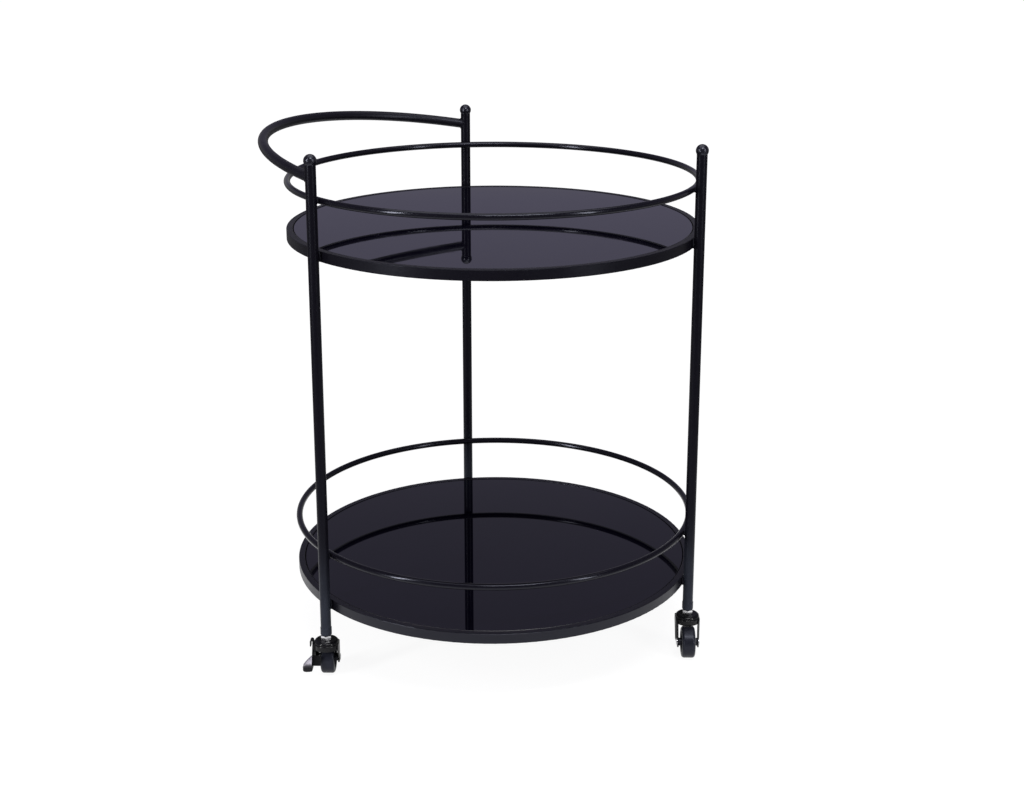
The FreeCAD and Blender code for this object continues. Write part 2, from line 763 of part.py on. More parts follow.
def make_axle(caster):
    """The wheel's axle, a rivet with a round head outside each cheek."""
    body = new_body(f"axle_{caster}")
    shank = "axle_diameter / 2"
    head = "rivet_head_diameter / 2"
    tip = f"{CHEEK_OUTSIDE} + rivet_head_length"
    upper = [
        (shank, CHEEK_OUTSIDE),
        (head, CHEEK_OUTSIDE),
        (head, f"{CHEEK_OUTSIDE} + rivet_head_length / 2"),
        (f"{head} - rivet_head_length", tip),
        ("0", tip),
    ]
    turn_on_axle(body, "axle", flip(upper) + upper, {}, caster)


def make_hub(caster):
    """The wheel's moulded centre: a boss on the axle, a web with ribs and a rim under the tyre."""
    body = new_body(f"wheel_hub_{caster}")
    bore = "axle_diameter / 2 + fit_clearance"
    boss = "hub_boss_diameter / 2"
    boss_end = f"{AXLE_INSIDE} - part_gap"
    rim = f"{HUB_RADIUS} - fit_clearance"
    rim_bore = f"{HUB_RADIUS} - hub_rim_thickness"
    web = "hub_web_thickness / 2"
    side = "tyre_width / 2 - hub_recess"
    upper = [(rim, side), (rim_bore, side), (rim_bore, web), (boss, web), (boss, boss_end), (bore, boss_end)]
    turn_on_axle(body, "hub", flip(upper) + upper, {}, caster)

    plan = new_sketch(body, "rib_plan", "XY_Plane")
    start = f"{boss} - hub_rib_thickness / 2"
    finish = f"{rim_bore} + hub_rim_thickness / 2"
    half_rib = "hub_rib_thickness / 2"
    corners = [(start, f"-{half_rib}"), (finish, f"-{half_rib}"), (finish, half_rib), (start, half_rib)]
    draw_outline(plan, corners)
    rib = pad(body, "hub_rib", plan, "tyre_width - 2 * (hub_recess + hub_rib_recess)", both_ways=True)
    repeat_round(body, "hub_ribs", rib, plan, HUB_RIB_COUNT)


def make_tyre(caster):
    """The rubber tyre, with rounded shoulders."""
    body = new_body(f"tyre_{caster}")
    side = "tyre_width / 2"
    upper = [
        (WHEEL_RADIUS, f"{side} - tyre_rounding"),
        (f"{WHEEL_RADIUS} - tyre_rounding", side),
        (HUB_RADIUS, side),
    ]
    shoulders = {1: ("tyre_rounding", 1), 3: ("tyre_rounding", 1)}
    turn_on_axle(body, "tyre", flip(upper) + upper, shoulders, caster)


def make_brake_pin(caster):
    """The rivet that the brake lever turns on, headed inside the cheek and outside the lever."""
    body = new_body(f"brake_pin_{caster}")
    shank = "lever_pin_diameter / 2"
    head = "lever_head_diameter / 2"
    outer = f"{LEVER_OUTSIDE} + part_gap"
    corners = [
        ("0", f"{HOOD_INSIDE} - lever_head_length"),
        (head, f"{HOOD_INSIDE} - lever_head_length"),
        (head, HOOD_INSIDE),
        (shank, HOOD_INSIDE),
        (shank, outer),
        (head, outer),
        (f"{head} - lever_head_length / 2", f"{outer} + lever_head_length"),
        ("0", f"{outer} + lever_head_length"),
    ]
    turn_across_fork(body, "brake_pin", corners, {}, caster, "lever_pivot_x", PIVOT_HEIGHT)


def shape_lever_plate(body):
    """The flat plate of the brake lever, from its hook down to the bend of its pedal."""
    plate = new_sketch(body, "lever_side", "XZ_Plane", f"-{LEVER_INSIDE}")
    behind_pin = "lever_pivot_x + lever_head_diameter"
    bend_top = f"{PEDAL_BASE} + pedal_bend"
    hook_base = f"{LEVER_TOP} - hook_bend"
    corners = [
        ("hook_x", hook_base),
        ("lever_shoulder_x", PIVOT_HEIGHT),
        ("pedal_front_x", f"{PEDAL_BASE} + lever_foot_rise"),
        ("pedal_front_x", bend_top),
        ("pedal_front_x + pedal_length", bend_top),
        ("lever_waist_x", f"{PEDAL_BASE} + lever_waist_rise"),
        (behind_pin, f"{PIVOT_HEIGHT} - lever_head_diameter"),
        (behind_pin, f"{PIVOT_HEIGHT} + lever_head_diameter / 2"),
        ("hook_x + hook_length", hook_base),
    ]
    draw_outline(plate, corners)
    pad(body, "lever_plate", plate, "lever_thickness", backwards=True)


def shape_pedal(body):
    """The pedal, which bends out from the foot of the lever and ends in a raised lip."""
    section = new_sketch(body, "pedal_section", "YZ_Plane", "pedal_front_x")
    tip = f"{LEVER_INSIDE} + pedal_reach"
    top = f"{PEDAL_BASE} + lever_thickness"
    bend_y = f"{LEVER_INSIDE} + pedal_bend"
    bend_z = f"{PEDAL_BASE} + pedal_bend"
    lip_y = f"{tip} - pedal_rounding"
    lip_z = f"{PEDAL_BASE} + pedal_rounding"
    lip_top = f"{lip_z} + pedal_lip"
    corners = [
        (LEVER_INSIDE, bend_z),
        (bend_y, PEDAL_BASE),
        (lip_y, PEDAL_BASE),
        (tip, lip_z),
        (tip, lip_top),
        (f"{tip} - lever_thickness", lip_top),
        (f"{tip} - lever_thickness", lip_z),
        (lip_y, top),
        (bend_y, top),
        (LEVER_OUTSIDE, bend_z),
    ]
    bends = {
        0: ("pedal_bend", 1),
        2: ("pedal_rounding", 1),
        6: ("pedal_rounding - lever_thickness", -1),
        8: ("pedal_bend - lever_thickness", -1),
    }
    draw_outline(section, corners, bends)
    pad(body, "pedal", section, "pedal_length")


def shape_hook(body):
    """The tab that curls out and down from the top of the lever, which lifts it again."""
    section = new_sketch(body, "hook_section", "YZ_Plane", "hook_x")
    base = f"{LEVER_TOP} - hook_bend"
    end = f"{LEVER_TOP} - hook_drop"
    turn_y = f"{LEVER_INSIDE} + hook_bend"
    tip = f"{turn_y} + hook_reach"
    far_y = f"{tip} - hook_bend"
    corners = [
        (LEVER_OUTSIDE, base),
        (turn_y, f"{LEVER_TOP} - lever_thickness"),
        (far_y, f"{LEVER_TOP} - lever_thickness"),
        (f"{tip} - lever_thickness", base),
        (f"{tip} - lever_thickness", end),
        (tip, end),
        (tip, base),
        (far_y, LEVER_TOP),
        (turn_y, LEVER_TOP),
        (LEVER_INSIDE, base),
    ]
    outer, inner = "hook_bend", "hook_bend - lever_thickness"
    draw_outline(section, corners, {0: (inner, -1), 2: (inner, -1), 6: (outer, 1), 8: (outer, 1)})
    pad(body, "hook", section, "hook_length")


def shoe_corner(radius, side):
    """A corner of the shoe's section, at a distance from the axle and on one side of its middle."""
    half = f"{side} * shoe_length / 2"
    x = f"caster_trail + {radius} * cos(shoe_angle) + {half} * sin(shoe_angle)"
    z = f"{WHEEL_RADIUS} + {radius} * sin(shoe_angle) - {half} * cos(shoe_angle)"
    return (x, z)


def shape_shoe(body):
    """The flange that reaches in from the lever and meets the edge of the tread."""
    section = new_sketch(body, "shoe_section", "XZ_Plane", f"-{LEVER_OUTSIDE}")
    near = f"({WHEEL_RADIUS} + shoe_gap)"
    far = f"({WHEEL_RADIUS} + shoe_gap + shoe_thickness)"
    places = ((near, -1), (near, 1), (far, 1), (far, -1))
    draw_outline(section, [shoe_corner(radius, side) for radius, side in places])
    pad(body, "shoe", section, f"{LEVER_OUTSIDE} - tyre_width / 2 + shoe_overlap")


def make_brake_lever(caster):
    """The pressed brake lever beside the fork."""
    body = new_body(f"brake_lever_{caster}")
    shape_lever_plate(body)
    shape_pedal(body)
    shape_hook(body)
    shape_shoe(body)
    bore_sideways(body, "lever_pivot", "lever_pivot_x", PIVOT_HEIGHT, "lever_pin_diameter")
    place_caster_piece(body, caster)


def make_tray(level, tray_height, rail_height, envelopes):
    """One tray with its ring, glass and gallery, and the beads that hold them to the legs."""
    rim = make_rim(level, tray_height)
    make_ledge(level, tray_height)
    make_bumpers(level, tray_height)
    make_glass(level, tray_height)
    rail = make_rail(level, rail_height)
    rim_middle = f"{tray_height} - rim_depth / 2"
    make_ring_welds(f"rim_welds_{level}", rim, envelopes, rim_middle, "rim_weld_spread")
    make_ring_welds(f"rail_welds_{level}", rail, envelopes, rail_height, "weld_spread")


def make_caster(caster):
    """One swivel caster, with a brake on the two under the handle."""
    make_stud(caster)
    make_cup(caster)
    make_balls(caster)
    make_fork(caster)
    make_axle(caster)
    make_hub(caster)
    make_tyre(caster)
    if caster in BRAKED_CASTERS:
        make_brake_lever(caster)
        make_brake_pin(caster)


def check_features():
    """Stops if any object failed, any cut removed nothing or any sub-part is unsound."""
    for item in doc.Objects:
        if "Invalid" in item.State or "Error" in item.State:
            raise RuntimeError(f"{item.Name} failed: {item.State}")
        if item.TypeId in ("PartDesign::Pocket", "PartDesign::Groove"):
            before = item.BaseFeature.Shape.Volume
            if before - item.Shape.Volume < LEAST_CUT_SHARE * before:
                raise RuntimeError(f"{item.Name} of {item.getParentGeoFeatureGroup().Label} cuts nothing")
    for item in sub_parts:
        if item.Shape.isNull() or not item.Shape.isValid() or not item.Shape.Solids:
            raise RuntimeError(f"{item.Label} has no sound shape")


def write_parts():
    """Writes each sub-part to its own file."""
    os.makedirs("parts", exist_ok=True)
    for item in sub_parts:
        item.Shape.exportStep(f"parts/{item.Label}.step")


def main():
    """Builds every sub-part, checks them and writes their files."""
    fill_sheet()
    envelopes = make_leg_envelopes()
    for leg in LEGS:
        make_leg(leg)
        make_finial(leg)
        make_socket(leg)
    make_tray("upper", UPPER_TRAY, UPPER_RAIL, envelopes)
    make_tray("lower", LOWER_TRAY, LOWER_RAIL, envelopes)
    make_handle(envelopes)
    for caster in LEGS:
        make_caster(caster)
    doc.recompute()
    check_features()
    write_parts()


main()
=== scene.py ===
import math

import bpy
from mathutils import Matrix, Vector


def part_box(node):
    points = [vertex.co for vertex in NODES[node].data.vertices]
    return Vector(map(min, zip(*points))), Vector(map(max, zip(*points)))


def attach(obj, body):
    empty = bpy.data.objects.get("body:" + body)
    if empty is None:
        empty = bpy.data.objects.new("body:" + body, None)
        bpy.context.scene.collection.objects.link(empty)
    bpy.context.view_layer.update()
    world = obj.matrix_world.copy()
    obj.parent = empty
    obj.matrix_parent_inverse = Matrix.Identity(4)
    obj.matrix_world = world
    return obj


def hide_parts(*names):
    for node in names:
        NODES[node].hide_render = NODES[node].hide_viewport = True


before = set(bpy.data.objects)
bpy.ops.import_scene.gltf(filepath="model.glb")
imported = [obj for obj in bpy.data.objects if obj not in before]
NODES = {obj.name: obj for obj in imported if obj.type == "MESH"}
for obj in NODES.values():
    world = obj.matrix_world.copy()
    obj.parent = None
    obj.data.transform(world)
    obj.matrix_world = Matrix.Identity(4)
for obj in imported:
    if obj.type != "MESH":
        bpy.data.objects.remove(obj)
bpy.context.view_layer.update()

bl_info = {
    "name": "Round Serving Trolley",
    "version": (1, 0, 0),
    "blender": (4, 5, 0),
    "location": "View3D > Sidebar > Trolley",
    "description": "Dresses a round two-tier serving trolley with its coatings, glass, welds and casters",
    "category": "Object",
}

LEGS = ("nose", "left", "right")
REAR_LEGS = ("left", "right")
LEVELS = ("upper", "lower")
MM = 0.001


# Sizes read from the frame

def middle(node):
    """The middle of a node's box."""
    low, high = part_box(node)
    return (low + high) / 2


def extent(node):
    """The size of a node's box along each axis."""
    low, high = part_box(node)
    return high - low


def leg_axis(leg):
    """A point on the floor under the middle of a leg."""
    centre = middle(f"leg_{leg}")
    return Vector((centre.x, centre.y, 0))


def caster_heading(leg):
    """The way that a caster trails at rest, as an angle from the X axis."""
    trail = middle(f"tyre_{leg}") - leg_axis(leg)
    return math.atan2(trail.y, trail.x)


TRAY_CENTRE = middle("rim_upper")
ROD_RADIUS = extent("rail_upper").z / 2
RAIL_RADIUS = extent("rail_upper").x / 2 - ROD_RADIUS
LEG_RADIUS = extent("leg_nose").x / 2
LEG_CIRCLE = (leg_axis("nose") - TRAY_CENTRE).xy.length
RIM_RADIUS = extent("rim_upper").x / 2
RIM_DEPTH = extent("rim_upper").z

# A radius so large that the surface is as good as flat, in metres
FLAT_RADIUS = 10.0


# Building blocks for node trees

def add(tree, kind, sources=None, **settings):
    """Adds a node. A source is a value for the socket of that name or number, or an output to link to it."""
    node = tree.nodes.new(kind)
    for name, setting in settings.items():
        setattr(node, name, setting)
    for name, source in (sources or {}).items():
        if isinstance(source, bpy.types.NodeSocket):
            tree.links.new(source, node.inputs[name])
        else:
            node.inputs[name].default_value = source
    return node


def empty_tree(owner):
    """The node tree of a new material or world, with nothing in it."""
    owner.use_nodes = True
    owner.node_tree.nodes.clear()
    return owner.node_tree


def maths(tree, operation, first, second=0.0, third=0.0):
    """The result of one sum on numbers or outputs."""
    kind = "ShaderNodeMath"
    return add(tree, kind, {0: first, 1: second, 2: third}, operation=operation).outputs[0]


def blend_colours(tree, mask, first, second):
    """The first colour where the mask is 0 and the second where it is 1."""
    colours = {0: mask, 6: first, 7: second}
    return add(tree, "ShaderNodeMix", colours, data_type="RGBA").outputs[2]


def rescale(tree, source, low, high, new_low=0.0, new_high=1.0):
    """A value moved smoothly from one range to another and held inside it."""
    inputs = {"Value": source, "From Min": low, "From Max": high, "To Min": new_low, "To Max": new_high}
    return add(tree, "ShaderNodeMapRange", inputs, interpolation_type="SMOOTHSTEP").outputs[0]


def vary(tree, base, mask, change):
    """A value with a change added where a mask is 1."""
    return maths(tree, "MULTIPLY_ADD", mask, change, base)


def solid(colour):
    """A colour with full alpha."""
    return (*colour[:3], 1.0)


def grey(level):
    """An even grey with full alpha."""
    return (level, level, level, 1.0)


def new_group(name, kind, inputs, outputs):
    """A node group with named sockets, with its input and output nodes."""
    group = bpy.data.node_groups.new(name, kind)
    for label, socket, default in inputs:
        item = group.interface.new_socket(label, in_out="INPUT", socket_type=socket)
        if default is not None:
            item.default_value = default
    for label, socket in outputs:
        group.interface.new_socket(label, in_out="OUTPUT", socket_type=socket)
    return group, group.nodes.new("NodeGroupInput"), group.nodes.new("NodeGroupOutput")


def place_group(tree, name, **inputs):
    """Puts a shader group in a material with its own values."""
    sources = {label.replace("_", " ").title(): source for label, source in inputs.items()}
    return add(tree, "ShaderNodeGroup", sources, node_tree=bpy.data.node_groups[name])


# Effects that several materials share

def noise(tree, position, scale, detail=2.0, roughness=0.5):
    """Plain noise from 0 to 1."""
    inputs = {"Vector": position, "Scale": scale, "Detail": detail, "Roughness": roughness}
    return add(tree, "ShaderNodeTexNoise", inputs).outputs["Fac"]


def build_peel_group():
    """The fine waves and grains of a sprayed coat."""
    inputs = (("Position", "NodeSocketVector", None), ("Scale", "NodeSocketFloat", 900.0),
              ("Grain", "NodeSocketFloat", 0.4))
    outputs = (("Height", "NodeSocketFloat"), ("Tone", "NodeSocketFloat"))
    group, start, finish = new_group("coat_peel", "ShaderNodeTree", inputs, outputs)
    waves = noise(group, start.outputs["Position"], start.outputs["Scale"])
    grains_per_wave = 4.0
    finer = maths(group, "MULTIPLY", start.outputs["Scale"], grains_per_wave)
    grains = noise(group, start.outputs["Position"], finer, detail=1.0)
    height = maths(group, "MULTIPLY_ADD", grains, start.outputs["Grain"], waves)
    group.links.new(height, finish.inputs["Height"])
    group.links.new(rescale(group, grains, low=0.35, high=0.7), finish.inputs["Tone"])


def build_dust_group():
    """Where fine dust settles: on what faces up, in soft patches."""
    inputs = (("Position", "NodeSocketVector", None), ("Amount", "NodeSocketFloat", 0.2),
              ("Patch Scale", "NodeSocketFloat", 30.0), ("Speck Scale", "NodeSocketFloat", 2500.0))
    outputs = (("Mask", "NodeSocketFloat"),)
    group, start, finish = new_group("settled_dust", "ShaderNodeTree", inputs, outputs)
    facing = add(group, "ShaderNodeNewGeometry").outputs["Normal"]
    upward = add(group, "ShaderNodeSeparateXYZ", {0: facing}).outputs["Z"]
    upward = rescale(group, upward, low=0.2, high=0.95, new_low=0.15)
    patches = noise(group, start.outputs["Position"], start.outputs["Patch Scale"], detail=4.0)
    patches = rescale(group, patches, low=0.3, high=0.75, new_low=0.2)
    specks = noise(group, start.outputs["Position"], start.outputs["Speck Scale"], detail=1.0)
    specks = rescale(group, specks, low=0.5, high=0.7, new_low=0.3)
    cover = maths(group, "MULTIPLY", maths(group, "MULTIPLY", patches, specks), upward)
    cover = maths(group, "MULTIPLY", cover, start.outputs["Amount"])
    group.links.new(cover, finish.inputs["Mask"])


def build_handling_group():
    """Faint streaks where cloths and hands have rubbed a surface."""
    inputs = (("Position", "NodeSocketVector", None), ("Scale", "NodeSocketFloat", 60.0),
              ("Stretch", "NodeSocketFloat", 8.0))
    outputs = (("Mask", "NodeSocketFloat"),)
    group, start, finish = new_group("handling_streaks", "ShaderNodeTree", inputs, outputs)
    squeeze = add(group, "ShaderNodeCombineXYZ", {0: 1.0, 1: start.outputs["Stretch"], 2: 1.0}).outputs[0]
    stretched = add(group, "ShaderNodeVectorMath", {0: start.outputs["Position"], 1: squeeze},
                    operation="MULTIPLY").outputs[0]
    streaks = noise(group, stretched, start.outputs["Scale"], detail=5.0, roughness=0.6)
    group.links.new(rescale(group, streaks, low=0.45, high=0.75), finish.inputs["Mask"])


def build_shared_groups():
    """Builds each shared effect once."""
    for name, build in (
        ("coat_peel", build_peel_group),
        ("settled_dust", build_dust_group),
        ("handling_streaks", build_handling_group),
    ):
        if name not in bpy.data.node_groups:
            build()


# Materials

def start_material(name):
    """A material with an empty principled shader, and the object's own coordinates."""
    material = bpy.data.materials.new(name)
    tree = empty_tree(material)
    shader = add(tree, "ShaderNodeBsdfPrincipled")
    add(tree, "ShaderNodeOutputMaterial", {"Surface": shader.outputs[0]})
    position = add(tree, "ShaderNodeTexCoord").outputs["Object"]
    return material, tree, shader, position


def reopen(material):
    """The tree of a material that is already made, with its shader and the object's own coordinates."""
    tree = material.node_tree
    kinds = {node.type: node for node in tree.nodes}
    return tree, kinds["BSDF_PRINCIPLED"], kinds["TEX_COORD"].outputs["Object"]


def set_bump(tree, shader, height, distance):
    """Gives a shader a bump of a real height in metres."""
    bump = add(tree, "ShaderNodeBump", {"Height": height, "Distance": distance, "Strength": 1.0})
    tree.links.new(bump.outputs[0], shader.inputs["Normal"])


def feed(tree, shader, name, source):
    """Links an output to a shader's socket."""
    tree.links.new(source, shader.inputs[name])


def paint(tree, shader, coat, film, dark, light, dust_colour):
    """Colours a coat in two tones, with dust where it settles."""
    tone = blend_colours(tree, coat.outputs["Tone"], solid(dark), solid(light))
    dusty = blend_colours(tree, film.outputs["Mask"], tone, solid(dust_colour))
    feed(tree, shader, "Base Color", dusty)


def set_sheen(shader, specular, tint):
    """Sets how strongly a surface shines and in what colour."""
    shader.inputs["Specular IOR Level"].default_value = specular
    shader.inputs["Specular Tint"].default_value = solid(tint)


def powder_coat(name, looks, roughness, specular, dust):
    """Satin black powder coat with orange peel and a little dust."""
    material, tree, shader, position = start_material(name)
    coat = place_group(tree, "coat_peel", position=position, scale=looks.peel_scale, grain=0.35)
    film = place_group(tree, "settled_dust", position=position, amount=dust)
    rubbed = place_group(tree, "handling_streaks", position=position, scale=25.0, stretch=1.0)
    paint(tree, shader, coat, film, looks.coat, looks.coat_grain, looks.dust)
    rough = vary(tree, roughness, coat.outputs["Tone"], change=0.06)
    rough = vary(tree, rough, rubbed.outputs["Mask"], change=-0.05)
    feed(tree, shader, "Roughness", vary(tree, rough, film.outputs["Mask"], change=0.3))
    set_sheen(shader, specular, looks.sheen)
    set_bump(tree, shader, coat.outputs["Height"], looks.peel_depth)
    return material


def leg_coat(looks):
    """The powder coat of the legs, with a painted reflection of the floor: paler in patches towards the
    floor.
    """
    material = powder_coat("leg_coat", looks, roughness=0.31, specular=0.11, dust=0.008)
    tree, shader, position = reopen(material)
    # Painted reflection: the base colour turns paler in patches towards the floor, standing in for the
    # floor's reflection in the legs.
    height = add(tree, "ShaderNodeSeparateXYZ", {0: position}).outputs["Z"]
    low = rescale(tree, height, low=0.05, high=looks.floor_lit_height, new_low=1.0, new_high=0.0)
    reflection_and_wear_patches = noise(tree, position, scale=35.0, detail=4.0)
    reflection_and_wear_patches = rescale(tree, reflection_and_wear_patches, low=0.3, high=0.6, new_low=0.75)
    coated = shader.inputs["Base Color"].links[0].from_socket
    mask = maths(tree, "MULTIPLY", low, reflection_and_wear_patches)
    feed(tree, shader, "Base Color", blend_colours(tree, mask, coated, solid(looks.floor_lit)))
    return material


def weld_coat(name, looks, roughness, specular, dust):
    """The same coat over a weld, with coarser grains and higher waves."""
    material, tree, shader, position = start_material(name)
    scale = looks.peel_scale * looks.weld_scale_share
    coat = place_group(tree, "coat_peel", position=position, scale=scale, grain=0.8)
    film = place_group(tree, "settled_dust", position=position, amount=dust)
    paint(tree, shader, coat, film, looks.coat, looks.coat_grain, looks.dust)
    feed(tree, shader, "Roughness", vary(tree, roughness, coat.outputs["Tone"], change=0.1))
    set_sheen(shader, specular, looks.sheen)
    set_bump(tree, shader, coat.outputs["Height"], looks.peel_depth * looks.weld_depth_share)
    return material


def tray_glass(looks, level):
    """Polished black glass with faint wipe marks and dust."""
    material, tree, shader, position = start_material(f"{level}_tray_glass")
    wiped = place_group(tree, "handling_streaks", position=position, scale=14.0, stretch=5.0)
    film = place_group(tree, "settled_dust", position=position, amount=looks.glass_dust,
                       patch_scale=9.0)
    colour = blend_colours(tree, film.outputs["Mask"], solid(looks.glass), solid(looks.dust))
    feed(tree, shader, "Base Color", colour)
    haze = vary(tree, looks.glass_roughness, wiped.outputs["Mask"], looks.wipe_haze)
    facing = add(tree, "ShaderNodeNewGeometry").outputs["True Normal"]
    upward = add(tree, "ShaderNodeSeparateXYZ", {0: facing}).outputs["Z"]
    edge = rescale(tree, upward, low=0.9, high=0.99, new_low=looks.ground_edge, new_high=0.0)
    rough = maths(tree, "ADD", haze, edge)
    feed(tree, shader, "Roughness", vary(tree, rough, film.outputs["Mask"], change=0.3))
    shader.inputs["IOR"].default_value = looks.glass_index
    return material


def gloss_coat(name, looks, duller):
    """The thin glossy black plating of the pressed caster parts."""
    material, tree, shader, position = start_material(name)
    coat = place_group(tree, "coat_peel", position=position, scale=1600.0, grain=0.2)
    film = place_group(tree, "settled_dust", position=position, amount=0.03, patch_scale=90.0)
    paint(tree, shader, coat, film, looks.plating, looks.plating_light, looks.dust)
    rough = vary(tree, looks.plating_roughness + duller, coat.outputs["Tone"], change=0.08)
    feed(tree, shader, "Roughness", rough)
    shader.inputs["Specular IOR Level"].default_value = looks.plating_shine
    set_bump(tree, shader, coat.outputs["Height"], distance=4e-6)
    return material


def bright_zinc(looks):
    """Bright zinc plating with fine streaks."""
    material, tree, shader, position = start_material("bright_zinc")
    grain = place_group(tree, "handling_streaks", position=position, scale=180.0, stretch=0.2)
    coat = place_group(tree, "coat_peel", position=position, scale=1400.0, grain=0.5)
    colour = blend_colours(tree, grain.outputs["Mask"], solid(looks.zinc), solid(looks.zinc_dull))
    feed(tree, shader, "Base Color", colour)
    feed(tree, shader, "Roughness", vary(tree, looks.zinc_roughness, grain.outputs["Mask"], change=0.15))
    shader.inputs["Metallic"].default_value = 1.0
    set_bump(tree, shader, coat.outputs["Height"], distance=3e-6)
    return material


def moulded(name, looks, colour, light_share, roughness, dust):
    """Moulded plastic or rubber with a fine texture and dust."""
    material, tree, shader, position = start_material(name)
    coat = place_group(tree, "coat_peel", position=position, scale=1200.0, grain=0.6)
    film = place_group(tree, "settled_dust", position=position, amount=dust, patch_scale=70.0)
    paint(tree, shader, coat, film, colour, [part * light_share for part in colour], looks.floor_dust)
    feed(tree, shader, "Roughness", vary(tree, roughness, coat.outputs["Tone"], change=0.12))
    set_sheen(shader, looks.moulded_shine, looks.sheen)
    set_bump(tree, shader, coat.outputs["Height"], distance=8e-6)
    return material


def pedal_plating(looks):
    """The caster plating, rubbed down to bright metal on the tread of the brake pedal."""
    material = gloss_coat("pedal_plating", looks, duller=0.05)
    tree, shader, position = reopen(material)
    reflection_and_wear_patches = place_group(tree, "handling_streaks", position=position, scale=240.0, stretch=1.0)
    worn = add(tree, "ShaderNodeAttribute", attribute_name="worn").outputs["Fac"]
    left = rescale(tree, reflection_and_wear_patches.outputs["Mask"], low=0.0, high=1.0, new_low=1.0, new_high=0.7)
    worn = maths(tree, "MULTIPLY", worn, left)
    plated = shader.inputs["Base Color"].links[0].from_socket
    feed(tree, shader, "Base Color", blend_colours(tree, worn, plated, solid(looks.worn_metal)))
    feed(tree, shader, "Metallic", worn)
    rough = shader.inputs["Roughness"].links[0].from_socket
    feed(tree, shader, "Roughness", vary(tree, rough, worn, change=0.22))
    return material


def clear_pad(looks):
    """Soft clear rubber, slightly cloudy."""
    material, tree, shader, position = start_material("clear_rubber")
    cloud = noise(tree, position, scale=400.0, detail=3.0)
    feed(tree, shader, "Base Color", blend_colours(tree, cloud, solid(looks.pad), solid(looks.pad_light)))
    feed(tree, shader, "Roughness", rescale(tree, cloud, low=0.3, high=0.7, new_low=0.25, new_high=0.4))
    shader.inputs["Transmission Weight"].default_value = looks.pad_clearness
    shader.inputs["IOR"].default_value = looks.pad_index
    return material


def dress(names, material):
    """Gives CAD nodes a material."""
    for name in names:
        mesh = NODES[name].data
        mesh.materials.clear()
        mesh.materials.append(material)


# Geometry trees

def end_geometry(tree, finish, geometry, material):
    """Smooths, realizes and gives the material, as every tree here ends."""
    smooth = add(tree, "GeometryNodeSetShadeSmooth", {"Geometry": geometry})
    real = add(tree, "GeometryNodeRealizeInstances", {"Geometry": smooth.outputs[0]})
    coated = add(tree, "GeometryNodeSetMaterial", {"Geometry": real.outputs[0], "Material": material})
    tree.links.new(coated.outputs[0], finish.inputs[0])


def geometry_tree(name, inputs):
    """A geometry tree with named inputs."""
    sockets = (("Geometry", "NodeSocketGeometry", None), *inputs, ("Material", "NodeSocketMaterial", None))
    return new_group(name, "GeometryNodeTree", sockets, (("Geometry", "NodeSocketGeometry"),))


def sweep(tree, path, profile):
    """A profile carried along a path, with its ends filled."""
    inputs = {"Curve": path, "Profile Curve": profile, "Fill Caps": True}
    return add(tree, "GeometryNodeCurveToMesh", inputs).outputs[0]


def rod_ring_tree():
    """A round rod bent into a ring."""
    inputs = (("Centre", "NodeSocketVector", (0.0, 0.0, 0.0)), ("Ring Radius", "NodeSocketFloat", 0.25),
              ("Rod Radius", "NodeSocketFloat", 0.004), ("Ring Steps", "NodeSocketInt", 256),
              ("Rod Steps", "NodeSocketInt", 20))
    tree, start, finish = geometry_tree("rod_ring", inputs)
    values = start.outputs
    path = add(tree, "GeometryNodeCurvePrimitiveCircle",
               {"Resolution": values["Ring Steps"], "Radius": values["Ring Radius"]}).outputs[0]
    rod = add(tree, "GeometryNodeCurvePrimitiveCircle",
              {"Resolution": values["Rod Steps"], "Radius": values["Rod Radius"]}).outputs[0]
    moved = {"Geometry": sweep(tree, path, rod), "Translation": values["Centre"]}
    moved = add(tree, "GeometryNodeTransform", moved).outputs[0]
    end_geometry(tree, finish, moved, values["Material"])
    return tree


def join(tree, *parts):
    """Several geometries as one."""
    joined = tree.nodes.new("GeometryNodeJoinGeometry")
    for part in parts:
        tree.links.new(part, joined.inputs[0])
    return joined.outputs[0]


def seam_path(tree, values):
    """A closed line round a joint, part of the way from the leg's surface to the other piece's."""
    circle = add(tree, "GeometryNodeCurvePrimitiveCircle", {"Resolution": 64, "Radius": 1.0}).outputs[0]
    place = add(tree, "GeometryNodeInputPosition").outputs[0]
    place = add(tree, "ShaderNodeSeparateXYZ", {0: place}).outputs
    across = maths(tree, "MULTIPLY", place["X"], values["Half Width"])
    up = maths(tree, "MULTIPLY", place["Y"], values["Half Height"])
    leg = round_surface(tree, values["Leg Radius"], across)
    other = maths(tree, "SUBTRACT", values["Rod Radius"], round_surface(tree, values["Rod Radius"], up))
    other = maths(tree, "ADD", other, values["Reach"])
    out = maths(tree, "MULTIPLY_ADD", maths(tree, "SUBTRACT", other, leg), values["Blend"], leg)
    place = add(tree, "ShaderNodeCombineXYZ", {0: out, 1: across, 2: up}).outputs[0]
    return add(tree, "GeometryNodeSetPosition", {"Geometry": circle, "Position": place}).outputs[0]


def round_surface(tree, radius, offset):
    """How far a cylinder's surface stands from its axis plane at an offset."""
    radius_square = maths(tree, "MULTIPLY", radius, radius)
    offset_square = maths(tree, "MULTIPLY", offset, offset)
    return maths(tree, "SQRT", maths(tree, "SUBTRACT", radius_square, offset_square))


# A weld's core as a share of its bead, the least and greatest coin, and a coin's thickness
CORE_SHARE = 0.85
LEAST_COIN_SHARE = 0.88
GREATEST_COIN_SHARE = 1.12
COIN_THICKNESS_SHARE = 0.5


